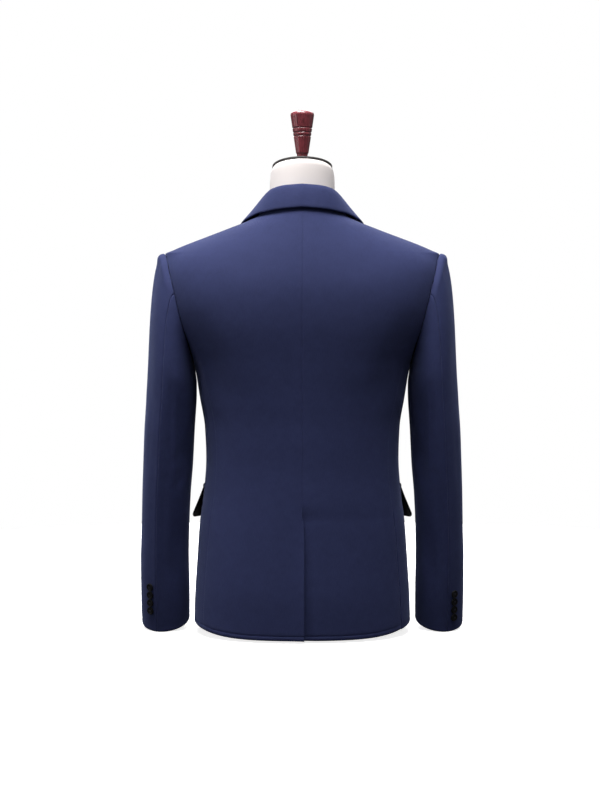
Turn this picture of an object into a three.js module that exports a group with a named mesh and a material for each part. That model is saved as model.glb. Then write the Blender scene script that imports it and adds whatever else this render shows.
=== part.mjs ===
// A man's short navy dinner jacket, buttoned on a limbless dress form.
// Millimetres, +Z up. The jacket faces -Y and its wearer's left is +X.
// The origin is the middle of the form's flat foot, which stands on z = 0.
// Every piece of cloth is a thin wall between an outer and an inner grid of points.
import * as THREE from "three";

// Driving sizes
const CLOTH = 2.0; // body cloth with its canvas or lining
const SLEEVE_CLOTH = 1.8;
const SEAM_GAP = 0.3; // between two pieces at a seam
const SEAM_DRAW = 0.9; // share of it that each edge is drawn in by
const HEM_BACK = 5; // height of the hem at the centre back
const HEM_RISE = 13; // how much higher the hem is at the side
const VENT_TOP = 178;
const VENT_UNDERLAP = 38;
const ARMPIT = 425;
const SHOULDER_POINT = 601;
const NECK_POINT = 662; // top of the shoulder seam
const NAPE = 678; // neck seam at the centre back
const FRONT_OVERLAP = 18; // past the centre front
const LAPEL_BREAK = 300; // where the lapel starts to roll
const GORGE = 632; // where lapel and collar meet on the roll line
const CUFF_BUTTON = { radius: 6.2, depth: 2.6, pitch: 12.8, count: 4, left: 33, right: 22 };
const FRONT_BUTTON = { radius: 10, depth: 3.4, height: 284 };
const CUFF_BUTTON_TURN = 59; // degrees around the sleeve, just in front of its back seam
const HEM_FADE = 150; // up to here the rows follow the hem
const FRONT_DROP = { rise: 14, top: 120 }; // how the hem lifts at the front edge
const REST = { lapel: 0.9, pocket: 0.8, cuffButton: 0.5, frontButton: 0.6, cap: 0.4 };

const { PI, sin, cos, abs, min, max, sign, sqrt, round } = Math;
const degrees = PI / 180;
const v3 = (x, y, z) => new THREE.Vector3(x, y, z);
const mix = (a, b, t) => a + (b - a) * t;
const clamp01 = (t) => min(1, max(0, t));
const smooth = (low, high, x) => {
  const t = clamp01((x - low) / (high - low));
  return t * t * (3 - 2 * t);
};

// A smooth curve through the rows of a table, with no overshoot between them.
// Each row starts with the height that it is given for.
function through(rows, column) {
  const n = rows.length;
  const at = rows.map((row) => row[0]);
  const value = rows.map((row) => row[column]);
  const slope = (i) => (value[i + 1] - value[i]) / (at[i + 1] - at[i]);
  const tangent = value.map((_, i) => {
    if (i === 0) return slope(0);
    if (i === n - 1) return slope(n - 2);
    const [before, after] = [slope(i - 1), slope(i)];
    return before * after <= 0 ? 0 : (2 * before * after) / (before + after);
  });
  return (x) => {
    if (x <= at[0]) return value[0];
    if (x >= at[n - 1]) return value[n - 1];
    const i = at.findIndex((a) => a > x) - 1;
    const h = at[i + 1] - at[i];
    const t = (x - at[i]) / h;
    return (
      value[i] * (1 + 2 * t) * (1 - t) ** 2 +
      tangent[i] * h * t * (1 - t) ** 2 +
      value[i + 1] * t * t * (3 - 2 * t) +
      tangent[i + 1] * h * t * t * (t - 1)
    );
  };
}

// Turns a table with named columns into one curve for each column.
const curves = (names, rows) =>
  Object.fromEntries(names.map((name, i) => [name, through(rows, i + 1)]));

// The outside of the jacket's body, as level rings from hem to neck.
// side: half the width. back, front: reach behind and ahead of the origin.
// ridge: where the widest point lies in y. square: roundness, 2 is an ellipse.
const jacket = curves(["side", "back", "front", "ridge", "square"], [
  [0, 172.5, 118, 123, 0, 2.3],
  [60, 171, 118.5, 121.5, 0, 2.3],
  [115, 167.5, 117, 119, 0, 2.3],
  [170, 163.5, 114.5, 116, 0, 2.3],
  [222, 157, 112, 113, 0, 2.3],
  [275, 153.5, 110.5, 112, 1, 2.3],
  [325, 155.5, 110.5, 115, 2, 2.3],
  [371, 163, 112, 120, 3, 2.3],
  [425, 173, 115, 125, 4, 2.4],
  [455, 186, 117, 126, 4, 2.4],
  [496, 205, 119, 122, 5, 2.35],
  [540, 216.5, 117, 108, 5, 2.2],
  [573, 220, 110, 88, 6, 2],
  [601, 218.5, 101, 66, 6, 1.75],
  [607, 206, 99, 60, 6, 1.72],
  [614, 190, 96, 54, 6, 1.7],
  [627, 156, 90, 43, 7, 1.72],
  [640, 121.5, 84, 31, 7, 1.8],
  [652, 90, 78, 22, 8, 1.95],
  [662, 70.5, 73, 17, 8, 2.05],
  [678, 60, 64, 10, 8, 2.1],
]);

// The dress form under it, in the same terms.
const form = curves(["side", "back", "front", "ridge", "square"], [
  [0, 137, 84, 90, 0, 2.2],
  [14, 146, 94, 99, 0, 2.2],
  [60, 151, 101, 104, 0, 2.2],
  [115, 149, 99, 103, 0, 2.2],
  [170, 146, 93, 100, 0, 2.2],
  [222, 142, 86, 98, 0, 2.2],
  [275, 140, 80, 98, 1, 2.2],
  [325, 143, 83, 101, 2, 2.2],
  [371, 149, 91, 106, 3, 2.2],
  [425, 155, 103, 111, 4, 2.2],
  [480, 163, 110, 109, 5, 2.2],
  [530, 178, 109, 98, 5, 2.2],
  [565, 192, 103, 80, 6, 1.9],
  [585, 199, 97, 66, 6, 1.72],
  [596, 200, 93, 57, 6, 1.62],
  [604, 195, 90, 50, 6, 1.58],
  [611, 188.4, 87, 44, 6, 1.56],
  [624, 153.5, 82, 34, 7, 1.58],
  [637, 115.5, 75, 22, 7, 1.65],
  [649, 78, 67, 19, 7, 1.7],
  [660, 59, 60, 26, 5, 1.7],
  [675, 54.4, 53, 36, 2, 1.85],
  [692, 52.4, 49, 43, -1, 2],
  [716, 51.8, 45, 49, -5, 2],
  [731, 50.6, 42, 51, -7, 2],
  [738, 47.4, 39, 51, -8, 2],
]);

// The point at angle theta (0 centre back, 90 side, 180 centre front) and height z.
function ringPoint(body, theta, z) {
  const power = 2 / body.square(z);
  const [s, c] = [sin(theta), cos(theta)];
  const x = body.side(z) * sign(s) * abs(s) ** power;
  const reach = c > 0 ? body.back(z) - body.ridge(z) : -body.front(z) - body.ridge(z);
  return v3(x, body.ridge(z) + reach * abs(c) ** power, z);
}

// The outward normal there, from two short steps along the surface.
function ringNormal(body, theta, z) {
  const [turn, rise] = [0.004, 0.4];
  const along = ringPoint(body, theta + turn, z).sub(ringPoint(body, theta - turn, z));
  const up = ringPoint(body, theta, z + rise).sub(ringPoint(body, theta, z - rise));
  return up.cross(along).normalize();
}

// The angle at which the ring at height z has the half width x, on the back.
function angleAt(body, x, z) {
  const share = min(1, abs(x) / body.side(z));
  return sign(x) * Math.asin(share ** (body.square(z) / 2));
}
const frontAngleAt = (body, x, z) => PI - angleAt(body, x, z);

// Soft folds of the body cloth: a trough or ridge along a straight line in x and z.
// face: 1 on the back, -1 on the front. Depth is outward, and folds on both sides match.
const BODY_FOLDS = [
  { face: 1, x0: 176, z0: 520, x1: 96, z1: 330, width: 20, depth: -2.2 },
  { face: 1, x0: 150, z0: 470, x1: 118, z1: 250, width: 16, depth: -1.6 },
  { face: -1, x0: 172, z0: 500, x1: 128, z1: 350, width: 18, depth: -2.2 },
  { face: -1, x0: 16, z0: 282, x1: 104, z1: 326, width: 15, depth: -1.8 },
  { face: -1, x0: 16, z0: 280, x1: 96, z1: 236, width: 16, depth: -1.6 },
];
function foldDepth(folds, point) {
  const face = point.y > 4 ? 1 : -1;
  let depth = 0;
  for (const fold of folds) {
    if (fold.face !== face) continue;
    const [dx, dz] = [fold.x1 - fold.x0, fold.z1 - fold.z0];
    const [px, pz] = [abs(point.x) - fold.x0, point.z - fold.z0];
    const length = Math.hypot(dx, dz);
    const along = (px * dx + pz * dz) / length ** 2;
    const across = (px * dz - pz * dx) / length;
    const ends = smooth(0, 0.3, along) * smooth(1, 0.6, along);
    depth += fold.depth * ends * Math.exp(-((across / fold.width) ** 2));
  }
  return depth;
}

// The hem, the armhole and the neck seam, as lines on the jacket's rings.
const hemAt = (theta) => HEM_BACK + HEM_RISE * abs(sin(theta)) ** 4.5;
const ARMHOLE = { back: 24 * degrees, front: 33 * degrees };
const ARMHOLE_MIDDLE = (SHOULDER_POINT + ARMPIT) / 2;
const ARMHOLE_HALF = (SHOULDER_POINT - ARMPIT) / 2;
const ARMHOLE_POWER = 1.12;
const armholeAngle = (sine, face) =>
  PI / 2 - face * (face > 0 ? ARMHOLE.back : ARMHOLE.front) * abs(sine) ** ARMHOLE_POWER;
// Its edge at height z: face 1 is the back edge, -1 the front edge.
function armholeEdge(z, face) {
  const share = (z - ARMHOLE_MIDDLE) / ARMHOLE_HALF;
  return armholeAngle(sqrt(max(0, 1 - share * share)), face);
}
// Its point at turn phi: 0 shoulder point, 90 back, 180 armpit, 270 front.
function armholePlace(phi) {
  const theta = armholeAngle(sin(phi), sin(phi) >= 0 ? 1 : -1);
  return { theta, z: ARMHOLE_MIDDLE + ARMHOLE_HALF * cos(phi) };
}
const neckSeamAt = (theta) => mix(NAPE, NECK_POINT, abs(sin(min(theta, PI / 2))) ** 1.6);

// The side panel's two seams, as angles against height. Each ends on the armhole.
const SIDE_BACK_TOP = 460;
const SIDE_FRONT_TOP = 446;
const sideBackSeam = through(
  [[0, 63], [150, 61], [275, 59], [380, 63], [SIDE_BACK_TOP, armholeEdge(SIDE_BACK_TOP, 1) / degrees]],
  1,
);
const sideFrontSeam = through(
  [[0, 112], [275, 113], [380, 112], [SIDE_FRONT_TOP, armholeEdge(SIDE_FRONT_TOP, -1) / degrees]],
  1,
);
// The lower edge of the armhole at angle theta.
function armholeFloor(theta) {
  const reach = theta < PI / 2 ? ARMHOLE.back : ARMHOLE.front;
  const sine = (abs(theta - PI / 2) / reach) ** (1 / ARMHOLE_POWER);
  return ARMHOLE_MIDDLE - ARMHOLE_HALF * sqrt(max(0, 1 - sine * sine));
}

// Roll line, neck seam and front edge of a front, as a half width against height.
const frontEdge = curves(["x"], [
  [0, -FRONT_OVERLAP],
  [LAPEL_BREAK - 14, -FRONT_OVERLAP],
  [LAPEL_BREAK, -FRONT_OVERLAP + 1.5],
  [360, -3],
  [460, 19],
  [560, 41],
  [GORGE, 57],
  [650, 63.8],
  [NECK_POINT, 71.3],
]);
// The cutaway corner of the front: how far the edge swings back towards the hem.
const CUTAWAY = { top: 215, swing: 62 };
const cutaway = (z) => CUTAWAY.swing * (1 - clamp01(z / CUTAWAY.top)) ** 2.4;

// Rows of heights between named levels.
function levels(...spans) {
  const rows = [spans[0][0]];
  for (const [from, to, steps] of spans)
    for (let i = 1; i <= steps; i += 1) rows.push(mix(from, to, i / steps));
  return rows;
}

// A closed wall between an outer and an inner grid of points.
function wall(outer, inner) {
  const [rows, columns] = [outer.length, outer[0].length];
  const points = [...outer.flat(), ...inner.flat()];
  const id = (layer, i, j) => layer * rows * columns + i * columns + j;
  const faces = [];
  const quad = (a, b, c, d) => faces.push([a, b, c], [a, c, d]);
  for (let i = 0; i + 1 < rows; i += 1)
    for (let j = 0; j + 1 < columns; j += 1) {
      quad(id(0, i, j), id(0, i, j + 1), id(0, i + 1, j + 1), id(0, i + 1, j));
      quad(id(1, i, j), id(1, i + 1, j), id(1, i + 1, j + 1), id(1, i, j + 1));
    }
  for (let j = 0; j + 1 < columns; j += 1) {
    quad(id(0, 0, j), id(1, 0, j), id(1, 0, j + 1), id(0, 0, j + 1));
    const top = rows - 1;
    quad(id(0, top, j), id(0, top, j + 1), id(1, top, j + 1), id(1, top, j));
  }
  for (let i = 0; i + 1 < rows; i += 1) {
    quad(id(0, i, 0), id(0, i + 1, 0), id(1, i + 1, 0), id(1, i, 0));
    const last = columns - 1;
    quad(id(0, i, last), id(1, i, last), id(1, i + 1, last), id(0, i + 1, last));
  }
  return solid(points, faces);
}

// A geometry from points and faces, turned so that its faces point out.
function solid(points, faces) {
  let volume = 0;
  for (const [a, b, c] of faces)
    volume += points[a].dot(points[b].clone().cross(points[c]));
  const index = volume > 0 ? faces : faces.map(([a, b, c]) => [a, c, b]);
  const geometry = new THREE.BufferGeometry().setFromPoints(points);
  geometry.setIndex(index.flat());
  geometry.computeVertexNormals();
  return geometry;
}

// Draws the edges of a grid in by half a seam gap or a little more, since its rows and
// columns may meet the seam aslant.
function insetEdges(grid, sides) {
  const step = SEAM_GAP * SEAM_DRAW;
  const pull = (from, to) => to.clone().sub(from).normalize().multiplyScalar(step);
  const out = grid.map((row) => row.map((p) => p.clone()));
  const [top, last] = [grid.length - 1, grid[0].length - 1];
  if (sides.rows)
    for (let j = 0; j <= last; j += 1) {
      out[0][j].add(pull(grid[0][j], grid[1][j]));
      out[top][j].add(pull(grid[top][j], grid[top - 1][j]));
    }
  if (sides.columns)
    for (let i = 0; i <= top; i += 1) {
      out[i][0].add(pull(grid[i][0], grid[i][1]));
      out[i][last].add(pull(grid[i][last], grid[i][last - 1]));
    }
  return out;
}

// A panel of the body. place(u, z) gives the angle, the height and how far the cloth
// is lifted off the rings. Both faces of the wall follow the rings' own normals.
function bodyPanel(heights, columns, place) {
  const grids = [0, CLOTH].map((depth) =>
    heights.map((height) =>
      Array.from({ length: columns + 1 }, (_, j) => {
        const { theta, z, lift = 0 } = place(j / columns, height);
        const point = ringPoint(jacket, theta, z);
        const out = lift + foldDepth(BODY_FOLDS, point) - depth;
        return point.addScaledVector(ringNormal(jacket, theta, z), out);
      }),
    ),
  );
  return wall(...grids.map((grid) => insetEdges(grid, { rows: true, columns: true })));
}
const countUp = (values) => values.map((_, i) => i);

// Heights near the hem follow it, and fade to level further up.
const nearHem = (z, theta) => z + hemAt(theta) * (1 - smooth(0, HEM_FADE, z));

// Back: centre back seam, hem, side seam, armhole, shoulder seam and neck seam.
// Up to the armhole, back and front have as many rows, and the side panel joins them.
const SIDE_BACK_ROWS = levels(
  [0, 165, 6], [165, VENT_TOP, 1], [VENT_TOP, 192, 1], [192, 206, 1], [206, SIDE_BACK_TOP, 7],
);
const SIDE_FRONT_ROWS = levels([0, 200, 7], [200, 290, 3], [290, SIDE_FRONT_TOP, 6]);
const SHOULDER_ROWS = [
  [582, 593, 1], [593, 598.5, 1], [598.5, SHOULDER_POINT, 1],
  [SHOULDER_POINT, GORGE, 3], [GORGE, NECK_POINT, 2],
];
const BACK_ROWS = [
  ...SIDE_BACK_ROWS,
  ...levels([SIDE_BACK_TOP, 582, 5], ...SHOULDER_ROWS).slice(1),
];
const FRONT_ROWS = [
  ...SIDE_FRONT_ROWS,
  ...levels([SIDE_FRONT_TOP, 582, 5], ...SHOULDER_ROWS).slice(1),
];
const backOuterAngle = (z) => {
  if (z < SIDE_BACK_TOP) return sideBackSeam(z) * degrees;
  return z < SHOULDER_POINT ? armholeEdge(z, 1) : PI / 2;
};
const frontOuterAngle = (z) => {
  if (z < SIDE_FRONT_TOP) return sideFrontSeam(z) * degrees;
  return z < SHOULDER_POINT ? armholeEdge(z, -1) : PI / 2;
};
// Up the armhole the columns keep to a smooth guide, and only the outer ones bend to it.
const GUIDE = { from: 520, to: 690 };
const guideTo = (face) => (z) =>
  mix(armholeEdge(GUIDE.from, face), PI / 2, smooth(GUIDE.from, GUIDE.to, z));
const backGuide = (z) => (z < GUIDE.from ? backOuterAngle(z) : guideTo(1)(z));
const frontGuide = (z) => (z < GUIDE.from ? frontOuterAngle(z) : guideTo(-1)(z));
const across = (inner, outer, guide, u) => mix(inner, guide, u) + (outer - guide) * u ** 7;

// The left back laps over the right one in the vent, and the right one reaches under it.
const VENT = { lap: 3, depth: 3.6, sunk: 4, flat: 18, start: 206, full: 192 };
const BACK_COLUMNS = 8;
function backPlace(side) {
  return (u, height) => {
    const lap = (side > 0 ? VENT.lap : VENT_UNDERLAP) * smooth(VENT.full, VENT_TOP, height);
    const outer = backOuterAngle(height);
    const column = round(u * BACK_COLUMNS);
    const near = [-lap, VENT.sunk, VENT.flat];
    const flat = angleAt(jacket, VENT.flat, max(height, 1));
    const theta =
      column < 3
        ? angleAt(jacket, near[column], max(height, 1))
        : across(flat, outer, backGuide(height), (column - 2) / (BACK_COLUMNS - 2));
    const top = smooth(630, NECK_POINT, height) * (neckSeamAt(theta) - NECK_POINT);
    const z = nearHem(height, theta) + top;
    if (side > 0 || column > 1) return { theta, z };
    return { theta, z, lift: -VENT.depth * smooth(VENT.start, VENT.full, height) };
  };
}

// Side panel: between the two side seams, up to the bottom of the armhole.
function sidePlace(u, row) {
  const [zBack, zFront] = [SIDE_BACK_ROWS[row], SIDE_FRONT_ROWS[row]];
  const theta = mix(sideBackSeam(zBack), sideFrontSeam(zFront), u) * degrees;
  const level = mix(zBack, zFront, u);
  const last = SIDE_BACK_ROWS.length - 1;
  const top = mix(sideBackSeam(SIDE_BACK_TOP), sideFrontSeam(SIDE_FRONT_TOP), u) * degrees;
  const dip = mix(SIDE_BACK_TOP, SIDE_FRONT_TOP, u) - armholeFloor(top);
  return { theta, z: nearHem(level, theta) - dip * smooth(0.6, 1, row / last) };
}

// Front: front edge and roll line, hem, side seam, armhole and shoulder seam.
// The left front laps over the right one, with room for the right lapel between them.
const LAP_LIFT = 5.6;
const lapLift = (x, z) => LAP_LIFT * smooth(64, 26, x) * smooth(440, 380, z);
function frontPlace(side) {
  return (u, height) => {
    const edge = frontEdge.x(height) + cutaway(height);
    const inner = frontAngleAt(jacket, edge, max(height, 1));
    const theta = across(inner, frontOuterAngle(height), frontGuide(height), u);
    const drop = FRONT_DROP.rise * smooth(FRONT_DROP.top, 0, height) * (1 - u) ** 5;
    const z = nearHem(height, theta) + drop;
    if (side < 0) return { theta, z };
    return { theta, z, lift: lapLift(ringPoint(jacket, theta, z).x, z) };
  };
}

// The outside of a front at x and z, lifted by some height off its face.
function onFront(side, x, z, lift) {
  const theta = frontAngleAt(jacket, x, z);
  const point = ringPoint(jacket, theta, z);
  const out = lift + foldDepth(BODY_FOLDS, point) + (side > 0 ? lapLift(x, z) : 0);
  return point.addScaledVector(ringNormal(jacket, theta, z), out);
}

// Lapel: from the roll line to its outer edge, which bellies out to the notch.
const LAPEL_TIP = { x: 121, z: 574 };
const LAPEL_CLOTH = 2.0;
const LAPEL_BELLY = 9;
const LAPEL_ROLL = 3; // how far its middle stands off the chest
const LAPEL_START = 0.06; // share of the roll line that the front itself covers
function lapelOuterEdge(s) {
  const start = { x: -FRONT_OVERLAP + 1.5, z: LAPEL_BREAK + 4 };
  const belly = LAPEL_BELLY * sin(PI * s) ** 0.9;
  return {
    x: mix(start.x, LAPEL_TIP.x, s) + belly * 0.85,
    z: mix(start.z, LAPEL_TIP.z, s) - belly * 0.45,
  };
}
function lapel(side) {
  const [rows, columns] = [16, 5];
  const grid = (depth) =>
    Array.from({ length: rows + 1 }, (_, i) => {
      const s = mix(LAPEL_START, 1, i / rows);
      const rollZ = mix(LAPEL_BREAK, GORGE - 0.7, s);
      const edge = lapelOuterEdge(s);
      return Array.from({ length: columns + 1 }, (_, j) => {
        const t = j / columns;
        const roll = LAPEL_ROLL * sin(PI * min(1, t * 1.15)) ** 0.8 * smooth(0.15, 0.5, s);
        const x = mix(frontEdge.x(rollZ) + 0.4, edge.x, t);
        const z = mix(rollZ, edge.z, t);
        return onFront(side, x, z, REST.lapel + LAPEL_CLOTH + roll - depth);
      });
    });
  return wall(grid(0), grid(LAPEL_CLOTH));
}

// The crease of the collar, from the gorge up beside the neck to the centre back.
const CREASE = [
  [0, 58, -35.5, 633.8], [0.16, 59, -25, 652], [0.34, 58.8, -11, 672],
  [0.52, 57.2, 7, 690.5], [0.7, 50, 30, 701], [0.86, 30, 50, 706.5], [1, 0, 57.5, 708.5],
];
// The outer edge of the collar, as a ring angle in degrees, a height and a lift.
const LEAF_EDGE = [
  [0, 137.5, 613, 4.4], [0.16, 131, 629, 3.6], [0.34, 116, 643, 2.8],
  [0.52, 91, 652, 2.8], [0.7, 60, 660, 3.6], [0.86, 29, 666, 4.8], [1, 0, 668.5, 5],
];
const creaseCurve = curves(["x", "y", "z"], CREASE);
const leafCurve = curves(["angle", "z", "lift"], LEAF_EDGE);
const creaseAt = (s) => v3(creaseCurve.x(s), creaseCurve.y(s), creaseCurve.z(s));
function leafEdgeAt(s) {
  const theta = leafCurve.angle(s) * degrees;
  const z = leafCurve.z(s);
  const normal = ringNormal(jacket, theta, z);
  return ringPoint(jacket, theta, z).addScaledVector(normal, leafCurve.lift(s));
}
// s runs from -1 at the right front over 0 at the centre back to 1 at the left front.
const mirrored = (point, side) => v3(side * point.x, point.y, point.z);
const COLLAR_CLOTH = 2.0;
const STAND_CLOTH = 1.8;
const NOTCH = { x: 97, z: 597.4, lift: 4 };

// The end of the collar: down the gorge to the notch, then up to the leaf's tip.
function frontEnd(t) {
  const [start, end] = [creaseAt(0), leafEdgeAt(0)];
  const notch = onFront(1, NOTCH.x, NOTCH.z, NOTCH.lift);
  return t < 0.5 ? start.lerp(notch, 2 * t) : notch.lerp(end, 2 * t - 1);
}

// The fall: rolls over the crease, hangs away from the stand and lies on the shoulders.
function fallPoint(s, t) {
  const side = s < 0 ? -1 : 1;
  const from = 1 - abs(s);
  const crease = creaseAt(from);
  const edge = leafEdgeAt(from);
  const away = v3(edge.x - crease.x, edge.y - crease.y, 0).normalize();
  const roll = crease.clone().addScaledVector(away, mix(4.5, 9, from));
  roll.z += mix(2, 1.5, from);
  const point = v3(0, 0, 0)
    .addScaledVector(crease, (1 - t) ** 2)
    .addScaledVector(roll, 2 * t * (1 - t))
    .addScaledVector(edge, t * t);
  return mirrored(point.lerp(frontEnd(t), smooth(0.16, 0, from)), side);
}
// The normal of a patch given as a function of two numbers.
function patchNormal(patch, a, b) {
  const step = 0.004;
  const alongA = patch(min(1, a + step), b).sub(patch(max(-1, a - step), b));
  const alongB = patch(a, min(1, b + step)).sub(patch(a, max(0, b - step)));
  return alongA.cross(alongB).normalize();
}
function patchWall(patch, as, bs, depth, inward) {
  const outer = as.map((a) => bs.map((b) => patch(a, b)));
  const inner = as.map((a) =>
    bs.map((b) => patch(a, b).addScaledVector(patchNormal(patch, a, b), inward * depth)),
  );
  return wall(outer, inner);
}
const spread = (from, to, steps) =>
  Array.from({ length: steps + 1 }, (_, i) => mix(from, to, i / steps));

// The stand: up from the neck seam to just inside the crease.
const STAND_END = 0.06; // share of the crease that it leaves bare at the gorge
const STAND_CLEAR = { seam: 0.7, crease: 2.2 }; // room above the neck seam and in the fold
function neckSeamPoint(from) {
  const crease = creaseAt(from);
  if (from >= 0.5) {
    const theta = (PI / 2) * (1 - (from - 0.5) / 0.5);
    return ringPoint(jacket, theta, neckSeamAt(theta));
  }
  const z = mix(GORGE + 3, NECK_POINT, from / 0.5);
  const seam = onFront(-1, frontEdge.x(z), z, 0);
  return seam.lerp(crease, 0.15 * (1 - from / 0.5));
}
function standPoint(s, t) {
  const side = s < 0 ? -1 : 1;
  const from = mix(STAND_END, 1, 1 - abs(s));
  const crease = creaseAt(from);
  const seam = neckSeamPoint(from);
  const rise = crease.clone().sub(seam).normalize();
  seam.addScaledVector(rise, STAND_CLEAR.seam);
  const toNeck = v3(-crease.x, -crease.y - 4, 0).normalize();
  crease.addScaledVector(toNeck, STAND_CLEAR.crease);
  return mirrored(seam.lerp(crease, t), side);
}

// Sleeve: rings from under the armpit to the cuff, and a crown up to the armhole.
// middle, reach: place and half width in x. depth: half width in y. lean: place in y.
const sleeve = curves(["middle", "reach", "depth", "lean"], [
  [0, 220.4, 38, 47, -27],
  [64, 220.4, 38.8, 48, -18],
  [115, 220.8, 38.4, 49, -12.5],
  [166, 219.6, 38, 51.5, -9],
  [218, 217.8, 38.7, 54.5, -6],
  [269, 214.8, 39.8, 58, -3.5],
  [320, 212.4, 40, 61, -1],
  [371, 209, 40, 64, 0.6],
  [395, 208.2, 39.4, 65.5, 1],
]);
const SLEEVE_TOP = 395; // height of the highest whole ring
const cuffAt = (phi) => 13.2 - 12 * sin(phi) - 2 * cos(phi);
const BACK_SEAM = 75 * degrees;
const FRONT_SEAM = -112 * degrees;

// Soft folds of a sleeve: at turn phi and height z, running down by drop.
const SLEEVE_FOLDS = [
  { phi: 75, z: 400, drop: 380, turn: 0, width: 9, depth: 1.6 },
  { phi: 112, z: 372, drop: 130, turn: 22, width: 15, depth: -2.4 },
  { phi: 150, z: 300, drop: 70, turn: -26, width: 13, depth: -1.6 },
  { phi: 128, z: 170, drop: 90, turn: -16, width: 14, depth: -1.8 },
  { phi: -70, z: 285, drop: 30, turn: -55, width: 14, depth: -2.6 },
  { phi: -50, z: 232, drop: 26, turn: -60, width: 12, depth: -2 },
  { phi: 30, z: 470, drop: 120, turn: 12, width: 14, depth: -1.5 },
  { phi: -35, z: 470, drop: 110, turn: -10, width: 14, depth: -1.6 },
];
const SLEEVE_RADIUS = 50; // turns degrees into millimetres around the sleeve
function sleeveFoldDepth(phi, z) {
  let depth = 0;
  for (const fold of SLEEVE_FOLDS) {
    const [dx, dz] = [fold.turn * degrees * SLEEVE_RADIUS, -fold.drop];
    const turn = Math.atan2(sin(phi - fold.phi * degrees), cos(phi - fold.phi * degrees));
    const [px, pz] = [turn * SLEEVE_RADIUS, z - fold.z];
    const length = Math.hypot(dx, dz);
    const along = (px * dx + pz * dz) / length ** 2;
    const across = (px * dz - pz * dx) / length;
    const ends = smooth(-0.2, 0.3, along) * smooth(1.2, 0.7, along);
    depth += fold.depth * ends * Math.exp(-((across / fold.width) ** 2));
  }
  return depth;
}

function sleeveRing(phi, z) {
  return v3(
    sleeve.middle(z) + sleeve.reach(z) * cos(phi),
    sleeve.lean(z) + sleeve.depth(z) * sin(phi),
    z,
  );
}
// The crown: a smooth path from the armhole seam to the highest ring.
// It leaves the seam outward, bellied to the back, and raised at the top by rise.
const CROWN = {
  out: 0.9, belly: 0.55, rise: 0.14, sink: 0.28, pull: 36, topPull: 42, lowPull: 32, below: 20,
};
const CROWN_GAP = SEAM_GAP + 0.25; // the seam runs aslant here
function crownPoint(phi, t) {
  const { theta, z } = armholePlace(phi);
  const seam = ringPoint(jacket, theta, z);
  const middle = ringPoint(jacket, PI / 2, ARMHOLE_MIDDLE);
  const into = middle.sub(seam);
  const normal = ringNormal(jacket, theta, z);
  into.addScaledVector(normal, -into.dot(normal)).normalize();
  seam.addScaledVector(into, CROWN_GAP);
  const ring = sleeveRing(phi, SLEEVE_TOP);
  const drop = seam.z - SLEEVE_TOP;
  const rise = CROWN.rise * max(0, cos(phi)) ** 2 + CROWN.sink * min(0, cos(phi));
  const start = v3(CROWN.out, CROWN.belly * sin(phi), rise)
    .normalize()
    .multiplyScalar(CROWN.pull + (cos(phi) > 0 ? CROWN.topPull : CROWN.lowPull) * cos(phi));
  const below = sleeveRing(phi, SLEEVE_TOP - CROWN.below);
  const finish = below.sub(ring).multiplyScalar(drop / CROWN.below);
  const [t2, t3] = [t * t, t * t * t];
  return seam
    .multiplyScalar(2 * t3 - 3 * t2 + 1)
    .addScaledVector(start, t3 - 2 * t2 + t)
    .addScaledVector(ring, 3 * t2 - 2 * t3)
    .addScaledVector(finish, t3 - t2);
}
// The whole sleeve: v from 0 at the armhole over 1 under the armpit to 2 at the cuff.
function sleeveBase(phi, v) {
  if (v <= 1) return crownPoint(phi, v);
  const share = v - 1;
  return sleeveRing(phi, SLEEVE_TOP * (1 - share) + cuffAt(phi) * share ** 3);
}
function sleeveNormal(phi, v) {
  const step = 0.01;
  const around = sleeveBase(phi + step, v).sub(sleeveBase(phi - step, v));
  const down = sleeveBase(phi, min(2, v + step)).sub(sleeveBase(phi, max(0, v - step)));
  return down.cross(around).normalize();
}
function sleevePoint(phi, v, depth) {
  const point = sleeveBase(phi, v);
  const fold = sleeveFoldDepth(phi, point.z) * smooth(0, 0.35, v);
  return point.addScaledVector(sleeveNormal(phi, v), fold - depth);
}
const SLEEVE_ROWS = [...spread(0, 1, 9), ...spread(1, 2, 13).slice(1)];
function sleevePiece(side, from, to, columns) {
  const grid = (depth) => {
    const points = SLEEVE_ROWS.map((v) =>
      spread(from, to, columns).map((phi) => mirrored(sleevePoint(phi, v, depth), side)),
    );
    return insetEdges(points, { rows: false, columns: true });
  };
  return wall(grid(0), grid(SLEEVE_CLOTH));
}

// Pocket flap: hangs from its jet below the waist and swings out at the rear corner.
// rear, front: its ends in degrees around the ring. swing: how far its lower edge stands off.
const FLAP = { top: 227, height: 49, rear: 92, front: 147, cloth: 2.4, swing: 11.5, frontSwing: 2.2 };
const JET = { height: 6, cloth: 1.6, above: 0.5 };
function frontSurface(side, theta, z, lift) {
  const point = ringPoint(jacket, theta, z);
  const lap = side > 0 ? lapLift(point.x, z) : 0;
  const out = lift + lap + foldDepth(BODY_FOLDS, point);
  return point.addScaledVector(ringNormal(jacket, theta, z), out);
}
function flap(side) {
  const grid = (depth) =>
    spread(0, 1, 5).map((down) =>
      spread(0, 1, 9).map((u) => {
        const theta = mix(FLAP.rear, FLAP.front, u) * degrees;
        const corner = 1 - 0.12 * abs(2 * u - 1) ** 8;
        const z = FLAP.top - FLAP.height * down * corner;
        const swing = mix(FLAP.swing, FLAP.frontSwing, smooth(0, 0.8, u)) * down;
        const lift = REST.pocket + FLAP.cloth + swing - depth;
        return mirrored(frontSurface(side, theta, z, lift), side);
      }),
    );
  return wall(grid(0), grid(FLAP.cloth));
}
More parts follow.
